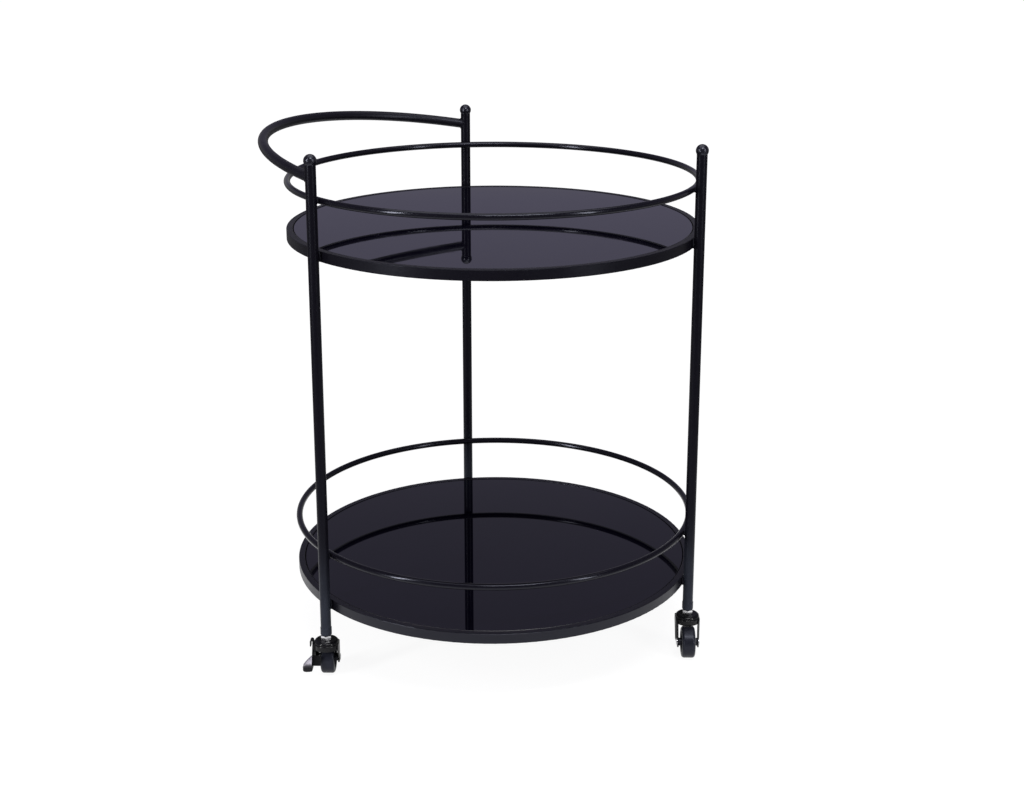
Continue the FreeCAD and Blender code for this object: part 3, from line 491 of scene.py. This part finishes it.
def seam_tree():
    """A weld laid coin on coin round a joint, repeated at each leg round the tray."""
    inputs = (
        ("Centre", "NodeSocketVector", (0.0, 0.0, 0.0)), ("Leg Circle", "NodeSocketFloat", 0.0),
        ("Turn", "NodeSocketFloat", 0.0), ("Joints", "NodeSocketInt", 1),
        ("Leg Radius", "NodeSocketFloat", 0.0065), ("Reach", "NodeSocketFloat", 0.0065),
        ("Rod Radius", "NodeSocketFloat", FLAT_RADIUS),
        ("Blend", "NodeSocketFloat", 0.5), ("Half Width", "NodeSocketFloat", 0.004),
        ("Half Height", "NodeSocketFloat", 0.004), ("Bead Radius", "NodeSocketFloat", 0.0015),
        ("Coins", "NodeSocketInt", 24), ("Seed", "NodeSocketInt", 1),
    )
    tree, start, finish = geometry_tree("weld_seam", inputs)
    values = start.outputs
    path = seam_path(tree, values)
    core = maths(tree, "MULTIPLY", values["Bead Radius"], CORE_SHARE)
    core = add(tree, "GeometryNodeCurvePrimitiveCircle", {"Resolution": 10, "Radius": core}).outputs[0]
    points = add(tree, "GeometryNodeCurveToPoints", {"Curve": path, "Count": values["Coins"]})
    coin = {"Radius": values["Bead Radius"], "Subdivisions": 3}
    coin = add(tree, "GeometryNodeMeshIcoSphere", coin).outputs[0]
    inputs = {2: LEAST_COIN_SHARE, 3: GREATEST_COIN_SHARE, "Seed": values["Seed"]}
    size = add(tree, "FunctionNodeRandomValue", inputs).outputs[1]
    scale = add(tree, "ShaderNodeCombineXYZ", {0: size, 1: size, 2: COIN_THICKNESS_SHARE}).outputs[0]
    inputs = {"Points": points.outputs["Points"], "Instance": coin, "Rotation": points.outputs["Rotation"],
              "Scale": scale}
    coins = add(tree, "GeometryNodeInstanceOnPoints", inputs).outputs[0]
    seam = join(tree, sweep(tree, path, core), coins)
    spread = spread_round(tree, seam, values)
    end_geometry(tree, finish, spread, values["Material"])
    return tree


def spread_round(tree, geometry, values):
    """A joint's weld placed at each leg, facing the middle of the ring."""
    index = add(tree, "GeometryNodeInputIndex").outputs[0]
    step = maths(tree, "DIVIDE", 2 * math.pi, values["Joints"])
    angle = maths(tree, "MULTIPLY_ADD", index, step, values["Turn"])
    reach = maths(tree, "MULTIPLY", values["Leg Circle"], -1.0)
    east = maths(tree, "MULTIPLY", maths(tree, "COSINE", angle), reach)
    north = maths(tree, "MULTIPLY", maths(tree, "SINE", angle), reach)
    place = add(tree, "ShaderNodeCombineXYZ", {0: east, 1: north, 2: 0.0}).outputs[0]
    place = add(tree, "ShaderNodeVectorMath", {0: place, 1: values["Centre"]}, operation="ADD").outputs[0]
    points = add(tree, "GeometryNodePoints", {"Count": values["Joints"], "Position": place}).outputs[0]
    turn = add(tree, "ShaderNodeCombineXYZ", {0: 0.0, 1: 0.0, 2: angle}).outputs[0]
    turn = add(tree, "FunctionNodeEulerToRotation", {0: turn}).outputs[0]
    inputs = {"Points": points, "Instance": geometry, "Rotation": turn}
    return add(tree, "GeometryNodeInstanceOnPoints", inputs).outputs[0]


def place_object(name, data):
    """A new object in the scene."""
    placed = bpy.data.objects.new(name, data)
    bpy.context.scene.collection.objects.link(placed)
    return placed


def build_from_tree(name, tree, values):
    """Runs a tree once and keeps its result as a plain mesh object."""
    holder = place_object(f"{name}_holder", bpy.data.meshes.new(f"{name}_holder"))
    modifier = holder.modifiers.new("shape", "NODES")
    modifier.node_group = tree
    sockets = {item.name: item.identifier for item in tree.interface.items_tree if item.in_out == "INPUT"}
    for label, setting in values.items():
        modifier[sockets[label]] = setting
    graph = bpy.context.evaluated_depsgraph_get()
    shaped = holder.evaluated_get(graph)
    mesh = bpy.data.meshes.new_from_object(shaped, preserve_all_data_layers=True, depsgraph=graph)
    holder.modifiers.remove(modifier)
    bpy.data.objects.remove(holder)
    mesh.name = name
    return place_object(name, mesh)


def settle(piece, body, slot_name, *nodes):
    """Rides a piece on its body and hides the nodes that it stands for. The slot's name is not used."""
    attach(piece, body)
    if nodes:
        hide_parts(*nodes)


# Settings

class TrolleyLooks(bpy.types.PropertyGroup):
    """Colours and finishes of the trolley."""

    coat: bpy.props.FloatVectorProperty(
        name="Coat", description="Colour of the frame's powder coat", subtype="COLOR",
        default=(0.0022, 0.0019, 0.0036))
    coat_grain: bpy.props.FloatVectorProperty(
        name="Coat grain", description="Lighter grains in the powder coat", subtype="COLOR",
        default=(0.0046, 0.0040, 0.0070))
    # Painted reflection: the paler colour that stands in for the floor's reflection low on the legs.
    floor_lit: bpy.props.FloatVectorProperty(
        name="Floor-lit coat", description="Colour of the legs' coat near the floor", subtype="COLOR",
        default=(0.024, 0.028, 0.038))
    # Painted reflection: the height up to which the legs' colour is painted paler.
    floor_lit_height: bpy.props.FloatProperty(
        name="Floor-lit height", description="Height above which the legs' coat is not scuffed", default=0.2,
        unit="LENGTH")
    sheen: bpy.props.FloatVectorProperty(
        name="Sheen", description="Tint of the sheen on coat, rubber and plastic", subtype="COLOR",
        default=(0.8, 0.83, 1.0))
    dust: bpy.props.FloatVectorProperty(
        name="Dust", description="Colour of settled dust", subtype="COLOR", default=(0.25, 0.24, 0.25))
    floor_dust: bpy.props.FloatVectorProperty(
        name="Floor dust", description="Colour of the dust on the wheels", subtype="COLOR",
        default=(0.3, 0.29, 0.28))
    peel_scale: bpy.props.FloatProperty(
        name="Peel scale", description="Waves of the coat in each metre", default=700.0, min=1.0)
    peel_depth: bpy.props.FloatProperty(
        name="Peel depth", description="Height of the coat's waves", default=1.2e-5, unit="LENGTH",
        precision=6)
    weld_scale_share: bpy.props.FloatProperty(
        name="Weld scale share", description="Waves over a weld, as a share of those elsewhere", default=0.6,
        min=0.0)
    weld_depth_share: bpy.props.FloatProperty(
        name="Weld depth share", description="Height of the waves over a weld, as a share of that elsewhere",
        default=3.0, min=0.0)
    glass: bpy.props.FloatVectorProperty(
        name="Glass", description="Colour of the tray glass", subtype="COLOR",
        default=(0.0008, 0.0005, 0.0034))
    glass_index: bpy.props.FloatProperty(
        name="Glass index", description="Refractive index of the glass", default=1.52, min=1.0)
    glass_roughness: bpy.props.FloatProperty(
        name="Glass roughness", description="Roughness of clean glass", default=0.015, min=0.0, max=1.0)
    wipe_haze: bpy.props.FloatProperty(
        name="Wipe haze", description="Roughness that wipe marks add", default=0.03, min=0.0, max=1.0)
    ground_edge: bpy.props.FloatProperty(
        name="Ground edge", description="Roughness that grinding adds to the glass's edge", default=0.34,
        min=0.0, max=1.0)
    glass_dust: bpy.props.FloatProperty(
        name="Glass dust", description="Dust on the glass", default=0.008, min=0.0, max=1.0)
    plating: bpy.props.FloatVectorProperty(
        name="Plating", description="Colour of the black plating", subtype="COLOR",
        default=(0.003, 0.003, 0.004))
    plating_light: bpy.props.FloatVectorProperty(
        name="Plating highlights", description="Lighter grains in the plating", subtype="COLOR",
        default=(0.006, 0.006, 0.0075))
    plating_roughness: bpy.props.FloatProperty(
        name="Plating roughness", description="Roughness of the plating", default=0.13, min=0.0, max=1.0)
    plating_shine: bpy.props.FloatProperty(
        name="Plating shine", description="Specular level of the plating", default=0.22, min=0.0, max=1.0)
    worn_metal: bpy.props.FloatVectorProperty(
        name="Worn metal", description="Bright metal where the plating is rubbed off", subtype="COLOR",
        default=(0.52, 0.5, 0.55))
    zinc: bpy.props.FloatVectorProperty(
        name="Zinc", description="Colour of bright zinc", subtype="COLOR", default=(0.72, 0.72, 0.74))
    zinc_dull: bpy.props.FloatVectorProperty(
        name="Dull zinc", description="Colour of dull zinc", subtype="COLOR", default=(0.45, 0.45, 0.47))
    zinc_roughness: bpy.props.FloatProperty(
        name="Zinc roughness", description="Roughness of bright zinc", default=0.2, min=0.0, max=1.0)
    tyre: bpy.props.FloatVectorProperty(
        name="Tyre", description="Colour of the tyre", subtype="COLOR", default=(0.0065, 0.0072, 0.0115))
    hub: bpy.props.FloatVectorProperty(
        name="Hub", description="Colour of the hub", subtype="COLOR", default=(0.007, 0.0072, 0.0095))
    moulded_shine: bpy.props.FloatProperty(
        name="Moulded shine", description="Specular level of rubber and plastic", default=0.32, min=0.0,
        max=1.0)
    pad: bpy.props.FloatVectorProperty(
        name="Pad", description="Colour of the clear pads", subtype="COLOR", default=(0.72, 0.73, 0.73))
    pad_light: bpy.props.FloatVectorProperty(
        name="Pad highlights", description="Lighter clouds in the clear pads", subtype="COLOR",
        default=(0.82, 0.83, 0.82))
    pad_clearness: bpy.props.FloatProperty(
        name="Pad clearness", description="How much light the pads let through", default=0.85, min=0.0,
        max=1.0)
    pad_index: bpy.props.FloatProperty(
        name="Pad index", description="Refractive index of the pads", default=1.45, min=1.0)


class TrolleySizes(bpy.types.PropertyGroup):
    """Sizes of the pieces made here."""

    handle_diameter: bpy.props.FloatProperty(
        name="Handle diameter", description="Diameter of the handle's tube", default=0.0125, unit="LENGTH")
    handle_bead: bpy.props.FloatProperty(
        name="Handle bead", description="Radius of the weld round the handle", default=0.0011, unit="LENGTH",
        precision=5)
    ring_seam_width: bpy.props.FloatProperty(
        name="Ring seam width", description="Distance between the welds beside a leg at a tray ring",
        default=0.0076, unit="LENGTH", precision=5)
    ring_bead: bpy.props.FloatProperty(
        name="Ring bead", description="Radius of the weld at a tray ring", default=0.0017, unit="LENGTH",
        precision=5)
    gallery_seam_width: bpy.props.FloatProperty(
        name="Gallery seam width", description="Distance between the welds beside a leg at a gallery",
        default=0.0068, unit="LENGTH", precision=5)
    gallery_seam_height: bpy.props.FloatProperty(
        name="Gallery seam height", description="Height of the weld at a gallery", default=0.0044,
        unit="LENGTH", precision=5)
    gallery_bead: bpy.props.FloatProperty(
        name="Gallery bead", description="Radius of the weld at a gallery", default=0.0013, unit="LENGTH",
        precision=5)
    pedal_thickness: bpy.props.FloatProperty(
        name="Pedal thickness", description="Thickness of a brake pedal's tread", default=0.0013,
        unit="LENGTH", precision=5)
    pedal_inner_edge: bpy.props.FloatProperty(
        name="Pedal inner edge", description="Distance of the tread's inner edge from the wheel's middle",
        default=0.0166, unit="LENGTH", precision=5)
    pedal_corner_drop: bpy.props.FloatProperty(
        name="Pedal corner drop", description="How far the tread's outer edge curves down", default=0.0011,
        unit="LENGTH", precision=5)


class TrolleyStage(bpy.types.PropertyGroup):
    """Camera, lamps, floor and backdrop."""

    camera_place: bpy.props.FloatVectorProperty(
        name="Camera place", description="Where the camera stands", subtype="TRANSLATION",
        default=(0.7231, -1.8094, 0.9439))
    camera_heading: bpy.props.FloatProperty(
        name="Camera heading", description="Which way the camera looks, from the X axis", subtype="ANGLE",
        default=math.radians(110.937))
    camera_pitch: bpy.props.FloatProperty(
        name="Camera pitch", description="How far the camera looks down", subtype="ANGLE",
        default=math.radians(15.566))
    lens: bpy.props.FloatProperty(name="Lens", description="Focal length", default=55.578, unit="CAMERA")
    shift: bpy.props.FloatProperty(name="Shift", description="Vertical shift of the lens", default=-0.0645)
    left_power: bpy.props.FloatProperty(
        name="Left power", description="Power of the softbox left of the camera in watts", default=30.0,
        min=0.0)
    right_power: bpy.props.FloatProperty(
        name="Right power", description="Power of the softbox right of the camera in watts", default=16.8,
        min=0.0)
    front_power: bpy.props.FloatProperty(
        name="Front power", description="Power of the softbox above the camera in watts", default=18.0,
        min=0.0)
    top_power: bpy.props.FloatProperty(
        name="Top power", description="Power of the overhead softbox in watts", default=22.0, min=0.0)
    horizon: bpy.props.FloatProperty(
        name="Horizon", description="Brightness of the backdrop's foot in reflections", default=0.3, min=0.0)
    floor_light: bpy.props.FloatProperty(
        name="Floor light", description="Brightness of the floor near the trolley", default=0.92, min=0.0)
    floor_shadow: bpy.props.FloatProperty(
        name="Floor shadow", description="How strongly the floor shows the trolley's shadow", default=0.16,
        min=0.0, max=1.0)
    floor_fade: bpy.props.FloatProperty(
        name="Floor fade", description="How much darker the far floor is in reflections", default=0.88,
        min=0.0)
    tray_shade: bpy.props.FloatProperty(
        name="Tray shade", description="How much darker the floor under the trays is in reflections",
        default=0.5, min=0.0)
    room: bpy.props.FloatVectorProperty(
        name="Room", description="Colour of the room above the backdrop", subtype="COLOR",
        default=(0.205, 0.194, 0.272))
    ceiling_share: bpy.props.FloatProperty(
        name="Ceiling share", description="Brightness of the ceiling, as a share of the room's",
        default=0.69, min=0.0)


# Operators

class TROLLEY_OT_coat_frame(bpy.types.Operator):
    """Coats the legs, plugs, finials, ledges and bow handle."""

    bl_idname = "trolley.coat_frame"
    bl_label = "Coat the frame"

    def execute(self, context):
        looks = context.scene.trolley_looks
        dress([f"{piece}_{leg}" for piece in ("leg", "stud_socket") for leg in LEGS], leg_coat(looks))
        coat = powder_coat("finial_coat", looks, roughness=0.24, specular=0.5, dust=0.01)
        dress([f"finial_{leg}" for leg in LEGS], coat)
        coat = powder_coat("ledge_coat", looks, roughness=0.31, specular=0.11, dust=0.008)
        dress([f"glass_ledge_{level}" for level in LEVELS], coat)
        coat = powder_coat("handle_coat", looks, roughness=0.34, specular=0.26, dust=0.02)
        dress(["handle_bow"], coat)
        return {"FINISHED"}


def lay_seam(name, tree, values, node):
    """Lays a weld seam in place of the plain weld of the frame."""
    settle(build_from_tree(name, tree, values), "frame", "frame_black", node)


class TROLLEY_OT_lay_welds(bpy.types.Operator):
    """Lays the weld beads where the rings, galleries and handle meet the legs."""

    bl_idname = "trolley.lay_welds"
    bl_label = "Lay the welds"

    def execute(self, context):
        looks = context.scene.trolley_looks
        sizes = context.scene.trolley_sizes
        tree = seam_tree()
        coat = weld_coat("weld_coat", looks, roughness=0.4, specular=0.18, dust=0.01)
        shared = {"Leg Radius": LEG_RADIUS, "Material": coat}
        outward = leg_axis("nose") - TRAY_CENTRE
        ring = {
            **shared,
            "Leg Circle": LEG_CIRCLE,
            "Turn": math.atan2(outward.y, outward.x) + math.pi,
            "Joints": len(LEGS),
        }
        for number, level in enumerate(LEVELS):
            rim = {
                **ring,
                "Centre": tuple(middle(f"rim_{level}")),
                "Reach": LEG_CIRCLE - RIM_RADIUS,
                "Rod Radius": FLAT_RADIUS,
                "Half Width": sizes.ring_seam_width / 2,
                "Half Height": RIM_DEPTH / 2 - sizes.ring_bead,
                "Bead Radius": sizes.ring_bead,
                "Coins": 30,
                "Seed": number,
            }
            lay_seam(f"ring_seams_{level}", tree, rim, f"rim_welds_{level}")
            rail = {
                **ring,
                "Centre": tuple(middle(f"rail_{level}")),
                "Reach": LEG_CIRCLE - RAIL_RADIUS - ROD_RADIUS,
                "Rod Radius": ROD_RADIUS,
                "Half Width": sizes.gallery_seam_width / 2,
                "Half Height": sizes.gallery_seam_height / 2,
                "Bead Radius": sizes.gallery_bead,
                "Coins": 22,
                "Seed": number + 10,
            }
            lay_seam(f"gallery_seams_{level}", tree, rail, f"rail_welds_{level}")
        for number, leg in enumerate(REAR_LEGS):
            weld = middle(f"handle_weld_{leg}")
            out = weld - leg_axis(leg)
            handle = {
                **shared,
                "Centre": (*leg_axis(leg).xy, weld.z),
                "Turn": math.atan2(out.y, out.x),
                "Blend": 0.0,
                "Half Width": sizes.handle_diameter / 2,
                "Half Height": sizes.handle_diameter / 2,
                "Bead Radius": sizes.handle_bead,
                "Coins": 34,
                "Seed": number + 20,
            }
            lay_seam(f"handle_seam_{leg}", tree, handle, f"handle_weld_{leg}")
        return {"FINISHED"}


class TROLLEY_OT_bend_galleries(bpy.types.Operator):
    """Bends each gallery from round rod."""

    bl_idname = "trolley.bend_galleries"
    bl_label = "Bend the galleries"

    def execute(self, context):
        looks = context.scene.trolley_looks
        coat = powder_coat("gallery_coat", looks, roughness=0.15, specular=0.27, dust=0.02)
        tree = rod_ring_tree()
        for level in LEVELS:
            values = {
                "Centre": tuple(middle(f"rail_{level}")),
                "Ring Radius": RAIL_RADIUS,
                "Rod Radius": ROD_RADIUS,
                "Material": coat,
            }
            ring = build_from_tree(f"gallery_rod_{level}", tree, values)
            settle(ring, "frame", "frame_black", f"rail_{level}")
        return {"FINISHED"}


class TROLLEY_OT_coat_rims(bpy.types.Operator):
    """Coats the tray rings."""

    bl_idname = "trolley.coat_rims"
    bl_label = "Coat the tray rings"

    def execute(self, context):
        looks = context.scene.trolley_looks
        for level, shine, dust in (("upper", 0.15, 0.02), ("lower", 0.36, 0.03)):
            coat = powder_coat(f"{level}_ring_coat", looks, roughness=0.34, specular=shine, dust=dust)
            dress([f"rim_{level}"], coat)
        return {"FINISHED"}


class TROLLEY_OT_fit_glass(bpy.types.Operator):
    """Finishes the glass and its pads."""

    bl_idname = "trolley.fit_glass"
    bl_label = "Fit the glass"

    def execute(self, context):
        looks = context.scene.trolley_looks
        for level in LEVELS:
            dress([f"glass_{level}"], tray_glass(looks, level))
        dress([f"glass_bumpers_{level}" for level in LEVELS], clear_pad(looks))
        return {"FINISHED"}


class TROLLEY_OT_finish_casters(bpy.types.Operator):
    """Finishes the forks, cups, studs, wheels and brakes."""

    bl_idname = "trolley.finish_casters"
    bl_label = "Finish the casters"

    def execute(self, context):
        looks = context.scene.trolley_looks
        plating = gloss_coat("caster_plating", looks, duller=0.05)
        zinc = bright_zinc(looks)
        dress([f"caster_fork_{leg}" for leg in LEGS] + [f"brake_lever_{leg}" for leg in REAR_LEGS], plating)
        dress([f"swivel_cup_{leg}" for leg in LEGS], gloss_coat("cup_plating", looks, duller=0.0))
        dress([f"{piece}_{leg}" for piece in ("caster_stud", "swivel_balls", "axle") for leg in LEGS], zinc)
        dress([f"brake_pin_{leg}" for leg in REAR_LEGS], zinc)
        rubber = moulded("tyre_rubber", looks, looks.tyre, light_share=1.5, roughness=0.3, dust=0.04)
        dress([f"tyre_{leg}" for leg in LEGS], rubber)
        plastic = moulded("hub_plastic", looks, looks.hub, light_share=1.3, roughness=0.4, dust=0.06)
        dress([f"wheel_hub_{leg}" for leg in LEGS], plastic)
        return {"FINISHED"}


def sheet_piece(name, rows, place, thickness, material):
    """A pressed sheet through rows of points, smoothed and given its thickness."""
    width = len(rows[0])
    corners = (0, 1, width + 1, width)
    faces = [
        [row * width + column + corner for corner in corners]
        for row in range(len(rows) - 1)
        for column in range(width - 1)
    ]
    mesh = bpy.data.meshes.new(name)
    mesh.from_pydata([place @ Vector(point) for row in rows for point in row], [], faces)
    mesh.materials.append(material)
    mesh.shade_smooth()
    piece = place_object(name, mesh)
    shell = piece.modifiers.new("thickness", "SOLIDIFY")
    shell.thickness = thickness
    shell.offset = 1.0
    rounding = piece.modifiers.new("rounding", "SUBSURF")
    rounding.levels = rounding.render_levels = 2
    return piece


# The tread's rows from its back to the foot of its lip: place along the caster, height and outer edge in mm,
# and how bare the metal is worn
PEDAL_ROWS = (
    (-1.5, 30.4, 18.0, 1.0),
    (-5.0, 28.4, 21.6, 1.0),
    (-8.8, 26.2, 25.4, 1.0),
    (-12.0, 24.3, 27.6, 1.0),
    (-14.0, 22.6, 28.0, 0.1),
    (-14.9, 19.8, 27.9, 0.0),
    (-15.0, 17.2, 26.6, 0.0),
    (-15.0, 15.4, 23.4, 0.0),
)
PEDAL_COLUMNS = 6


def pedal_points(along, height, outer, sizes):
    """A row of points across a brake pedal's tread, curving down towards its outer edge."""
    inner = sizes.pedal_inner_edge
    points = []
    for column in range(PEDAL_COLUMNS):
        share = column / (PEDAL_COLUMNS - 1)
        across = inner + (outer * MM - inner) * share
        points.append((along * MM, across, height * MM - sizes.pedal_corner_drop * share ** 4))
    return points


class TROLLEY_OT_fold_pedals(bpy.types.Operator):
    """Folds the tread and front lip of each brake pedal."""

    bl_idname = "trolley.fold_pedals"
    bl_label = "Fold the brake pedals"

    def execute(self, context):
        sizes = context.scene.trolley_sizes
        material = pedal_plating(context.scene.trolley_looks)
        rows = [pedal_points(along, height, outer, sizes) for along, height, outer, _ in PEDAL_ROWS]
        wear = [worn for _, _, _, worn in PEDAL_ROWS for _ in range(PEDAL_COLUMNS)]
        for leg in REAR_LEGS:
            place = Matrix.Translation(leg_axis(leg)) @ Matrix.Rotation(caster_heading(leg), 4, "Z")
            tread = sheet_piece(f"pedal_tread_{leg}", rows, place, sizes.pedal_thickness, material)
            worn = tread.data.attributes.new("worn", "FLOAT", "POINT")
            worn.data.foreach_set("value", wear)
            settle(tread, f"brake_{leg}", "caster_black")
        return {"FINISHED"}


class TROLLEY_OT_set_stage(bpy.types.Operator):
    """Sets the floor, the backdrop, the lamps and the camera."""

    bl_idname = "trolley.set_stage"
    bl_label = "Set the stage"

    def execute(self, context):
        settings = context.scene.trolley_stage
        lay_floor(settings)
        paint_backdrop(context.scene, settings)
        hang_lamps(settings)
        stand_camera(context.scene, settings)
        context.scene.view_settings.view_transform = "Standard"
        return {"FINISHED"}


def pale_floor(settings):
    """Pale floor that the camera, metal and glass see as the backdrop, with the object's shadow.

    In reflections it fades far away and under the trays.
    """
    material = bpy.data.materials.new("pale_floor")
    tree = empty_tree(material)
    position = add(tree, "ShaderNodeTexCoord").outputs["Object"]
    mottle = noise(tree, position, scale=3.0, detail=3.0)
    pale = blend_colours(tree, mottle, grey(0.79), grey(0.81))
    plain = add(tree, "ShaderNodeBsdfDiffuse", {"Color": pale}).outputs[0]
    shaded = add(tree, "ShaderNodeBsdfDiffuse", {"Color": grey(settings.floor_shadow)}).outputs[0]
    rays = add(tree, "ShaderNodeLightPath").outputs
    reach = add(tree, "ShaderNodeVectorMath", {0: position}, operation="LENGTH").outputs["Value"]
    far = rescale(tree, reach, low=0.45, high=1.3, new_high=settings.floor_fade)
    under = rescale(tree, reach, low=0.2, high=0.38, new_low=settings.tray_shade, new_high=0.0)
    fade = maths(tree, "MULTIPLY", rays["Is Glossy Ray"], maths(tree, "ADD", far, under))
    light = rescale(tree, reach, low=0.5, high=2.4, new_low=settings.floor_light)
    glow = {"Color": grey(1.0), "Strength": maths(tree, "SUBTRACT", light, fade)}
    glow = add(tree, "ShaderNodeEmission", glow).outputs[0]
    seen = add(tree, "ShaderNodeAddShader", {0: shaded, 1: glow}).outputs[0]
    looking = maths(tree, "MAXIMUM", rays["Is Camera Ray"], rays["Is Glossy Ray"])
    looking = maths(tree, "MAXIMUM", looking, rays["Is Transmission Ray"])
    chosen = add(tree, "ShaderNodeMixShader", {0: looking, 1: plain, 2: seen}).outputs[0]
    add(tree, "ShaderNodeOutputMaterial", {"Surface": chosen})
    return material


def lay_floor(settings):
    """Lays a wide round floor."""
    radius = 14.0
    corners = 96
    turns = [2 * math.pi * corner / corners for corner in range(corners)]
    edge = [(radius * math.cos(turn), radius * math.sin(turn), 0) for turn in turns]
    mesh = bpy.data.meshes.new("studio_floor")
    mesh.from_pydata(edge, [], [range(corners)])
    mesh.materials.append(pale_floor(settings))
    floor = place_object("studio_floor", mesh)


def climb(tree, height, low, high):
    """0 below one angle over the horizon and 1 above another, in degrees."""
    return rescale(tree, height, math.sin(math.radians(low)), math.sin(math.radians(high)))


def paint_backdrop(scene, settings):
    """A backdrop that is white to the camera.

    Other rays meet a dim room over its white foot, and in reflections the foot is dimmed too.
    """
    world = bpy.data.worlds.new("studio")
    tree = empty_tree(world)
    direction = add(tree, "ShaderNodeTexCoord").outputs["Generated"]
    height = add(tree, "ShaderNodeSeparateXYZ", {0: direction}).outputs["Z"]
    above = climb(tree, height, low=8, high=11)
    rays = add(tree, "ShaderNodeLightPath").outputs
    looking = maths(tree, "MAXIMUM", rays["Is Camera Ray"], rays["Is Transmission Ray"])
    above = maths(tree, "MULTIPLY", above, maths(tree, "SUBTRACT", 1.0, looking))
    dim = maths(tree, "MULTIPLY", rays["Is Glossy Ray"], 1.0 - settings.horizon)
    white = maths(tree, "SUBTRACT", 1.0, dim)
    ceiling = [part * settings.ceiling_share for part in settings.room]
    room = blend_colours(tree, climb(tree, height, low=13, high=26), solid(settings.room), solid(ceiling))
    colour = blend_colours(tree, above, white, room)
    sky = add(tree, "ShaderNodeBackground", {"Color": colour, "Strength": 1.0})
    add(tree, "ShaderNodeOutputWorld", {"Surface": sky.outputs[0]})
    scene.world = world


def hang_lamp(name, place, target, width, height, power):
    """A softbox that faces a point."""
    lamp = bpy.data.lights.new(name, "AREA")
    lamp.shape = "RECTANGLE"
    lamp.size = width
    lamp.size_y = height
    lamp.energy = power
    holder = place_object(name, lamp)
    holder.location = place
    holder.rotation_euler = (Vector(target) - Vector(place)).to_track_quat("-Z", "Y").to_euler()


# Each softbox: its turn from the camera in degrees, how far out and how high it hangs, its width and height
SOFTBOXES = {
    "left": (-52, 2.2, 1.0, 0.2, 1.6),
    "right": (48, 2.2, 1.0, 0.2, 1.6),
    "front": (14, 1.45, 2.3, 1.2, 0.3),
    "top": (0, 0.0, 2.4, 2.2, 2.2),
}


def hang_lamps(settings):
    """Two tall softboxes beside the camera, one above it and one overhead."""
    facing = math.atan2(settings.camera_place[1], settings.camera_place[0])
    target = (0.0, 0.0, 0.35)
    for side, (turn, reach, raised, width, height) in SOFTBOXES.items():
        angle = facing + math.radians(turn)
        place = (reach * math.cos(angle), reach * math.sin(angle), raised)
        power = getattr(settings, f"{side}_power")
        hang_lamp(f"{side}_softbox", place, target, width, height, power)


def stand_camera(scene, settings):
    """Stands the camera where the photograph was taken from."""
    camera = bpy.data.cameras.new("photo_camera")
    camera.lens = settings.lens
    camera.shift_y = settings.shift
    camera.clip_end = 60.0
    holder = place_object("photo_camera", camera)
    holder.location = settings.camera_place
    quarter = math.pi / 2
    holder.rotation_euler = (quarter - settings.camera_pitch, 0, settings.camera_heading - quarter)
    scene.camera = holder


class TROLLEY_PT_panel(bpy.types.Panel):
    """Lists the trolley's steps in the sidebar."""

    bl_label = "Serving Trolley"
    bl_idname = "TROLLEY_PT_panel"
    bl_space_type = "VIEW_3D"
    bl_region_type = "UI"
    bl_category = "Trolley"

    def draw(self, context):
        for operator in OPERATORS:
            self.layout.operator(operator.bl_idname)


OPERATORS = (
    TROLLEY_OT_coat_frame,
    TROLLEY_OT_lay_welds,
    TROLLEY_OT_bend_galleries,
    TROLLEY_OT_coat_rims,
    TROLLEY_OT_fit_glass,
    TROLLEY_OT_finish_casters,
    TROLLEY_OT_fold_pedals,
    TROLLEY_OT_set_stage,
)
CLASSES = (TrolleyLooks, TrolleySizes, TrolleyStage, *OPERATORS, TROLLEY_PT_panel)


def register():
    """Registers the classes and the settings."""
    for item in CLASSES:
        bpy.utils.register_class(item)
    bpy.types.Scene.trolley_looks = bpy.props.PointerProperty(type=TrolleyLooks)
    bpy.types.Scene.trolley_sizes = bpy.props.PointerProperty(type=TrolleySizes)
    bpy.types.Scene.trolley_stage = bpy.props.PointerProperty(type=TrolleyStage)


def unregister():
    """Removes the settings and the classes."""
    del bpy.types.Scene.trolley_looks
    del bpy.types.Scene.trolley_sizes
    del bpy.types.Scene.trolley_stage
    for item in reversed(CLASSES):
        bpy.utils.unregister_class(item)


def main():
    """Registers the add-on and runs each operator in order."""
    register()
    build_shared_groups()
    bpy.ops.trolley.coat_frame()
    bpy.ops.trolley.lay_welds()
    bpy.ops.trolley.bend_galleries()
    bpy.ops.trolley.coat_rims()
    bpy.ops.trolley.fit_glass()
    bpy.ops.trolley.finish_casters()
    bpy.ops.trolley.fold_pedals()
    bpy.ops.trolley.set_stage()


if __name__ == "__main__":
    main()
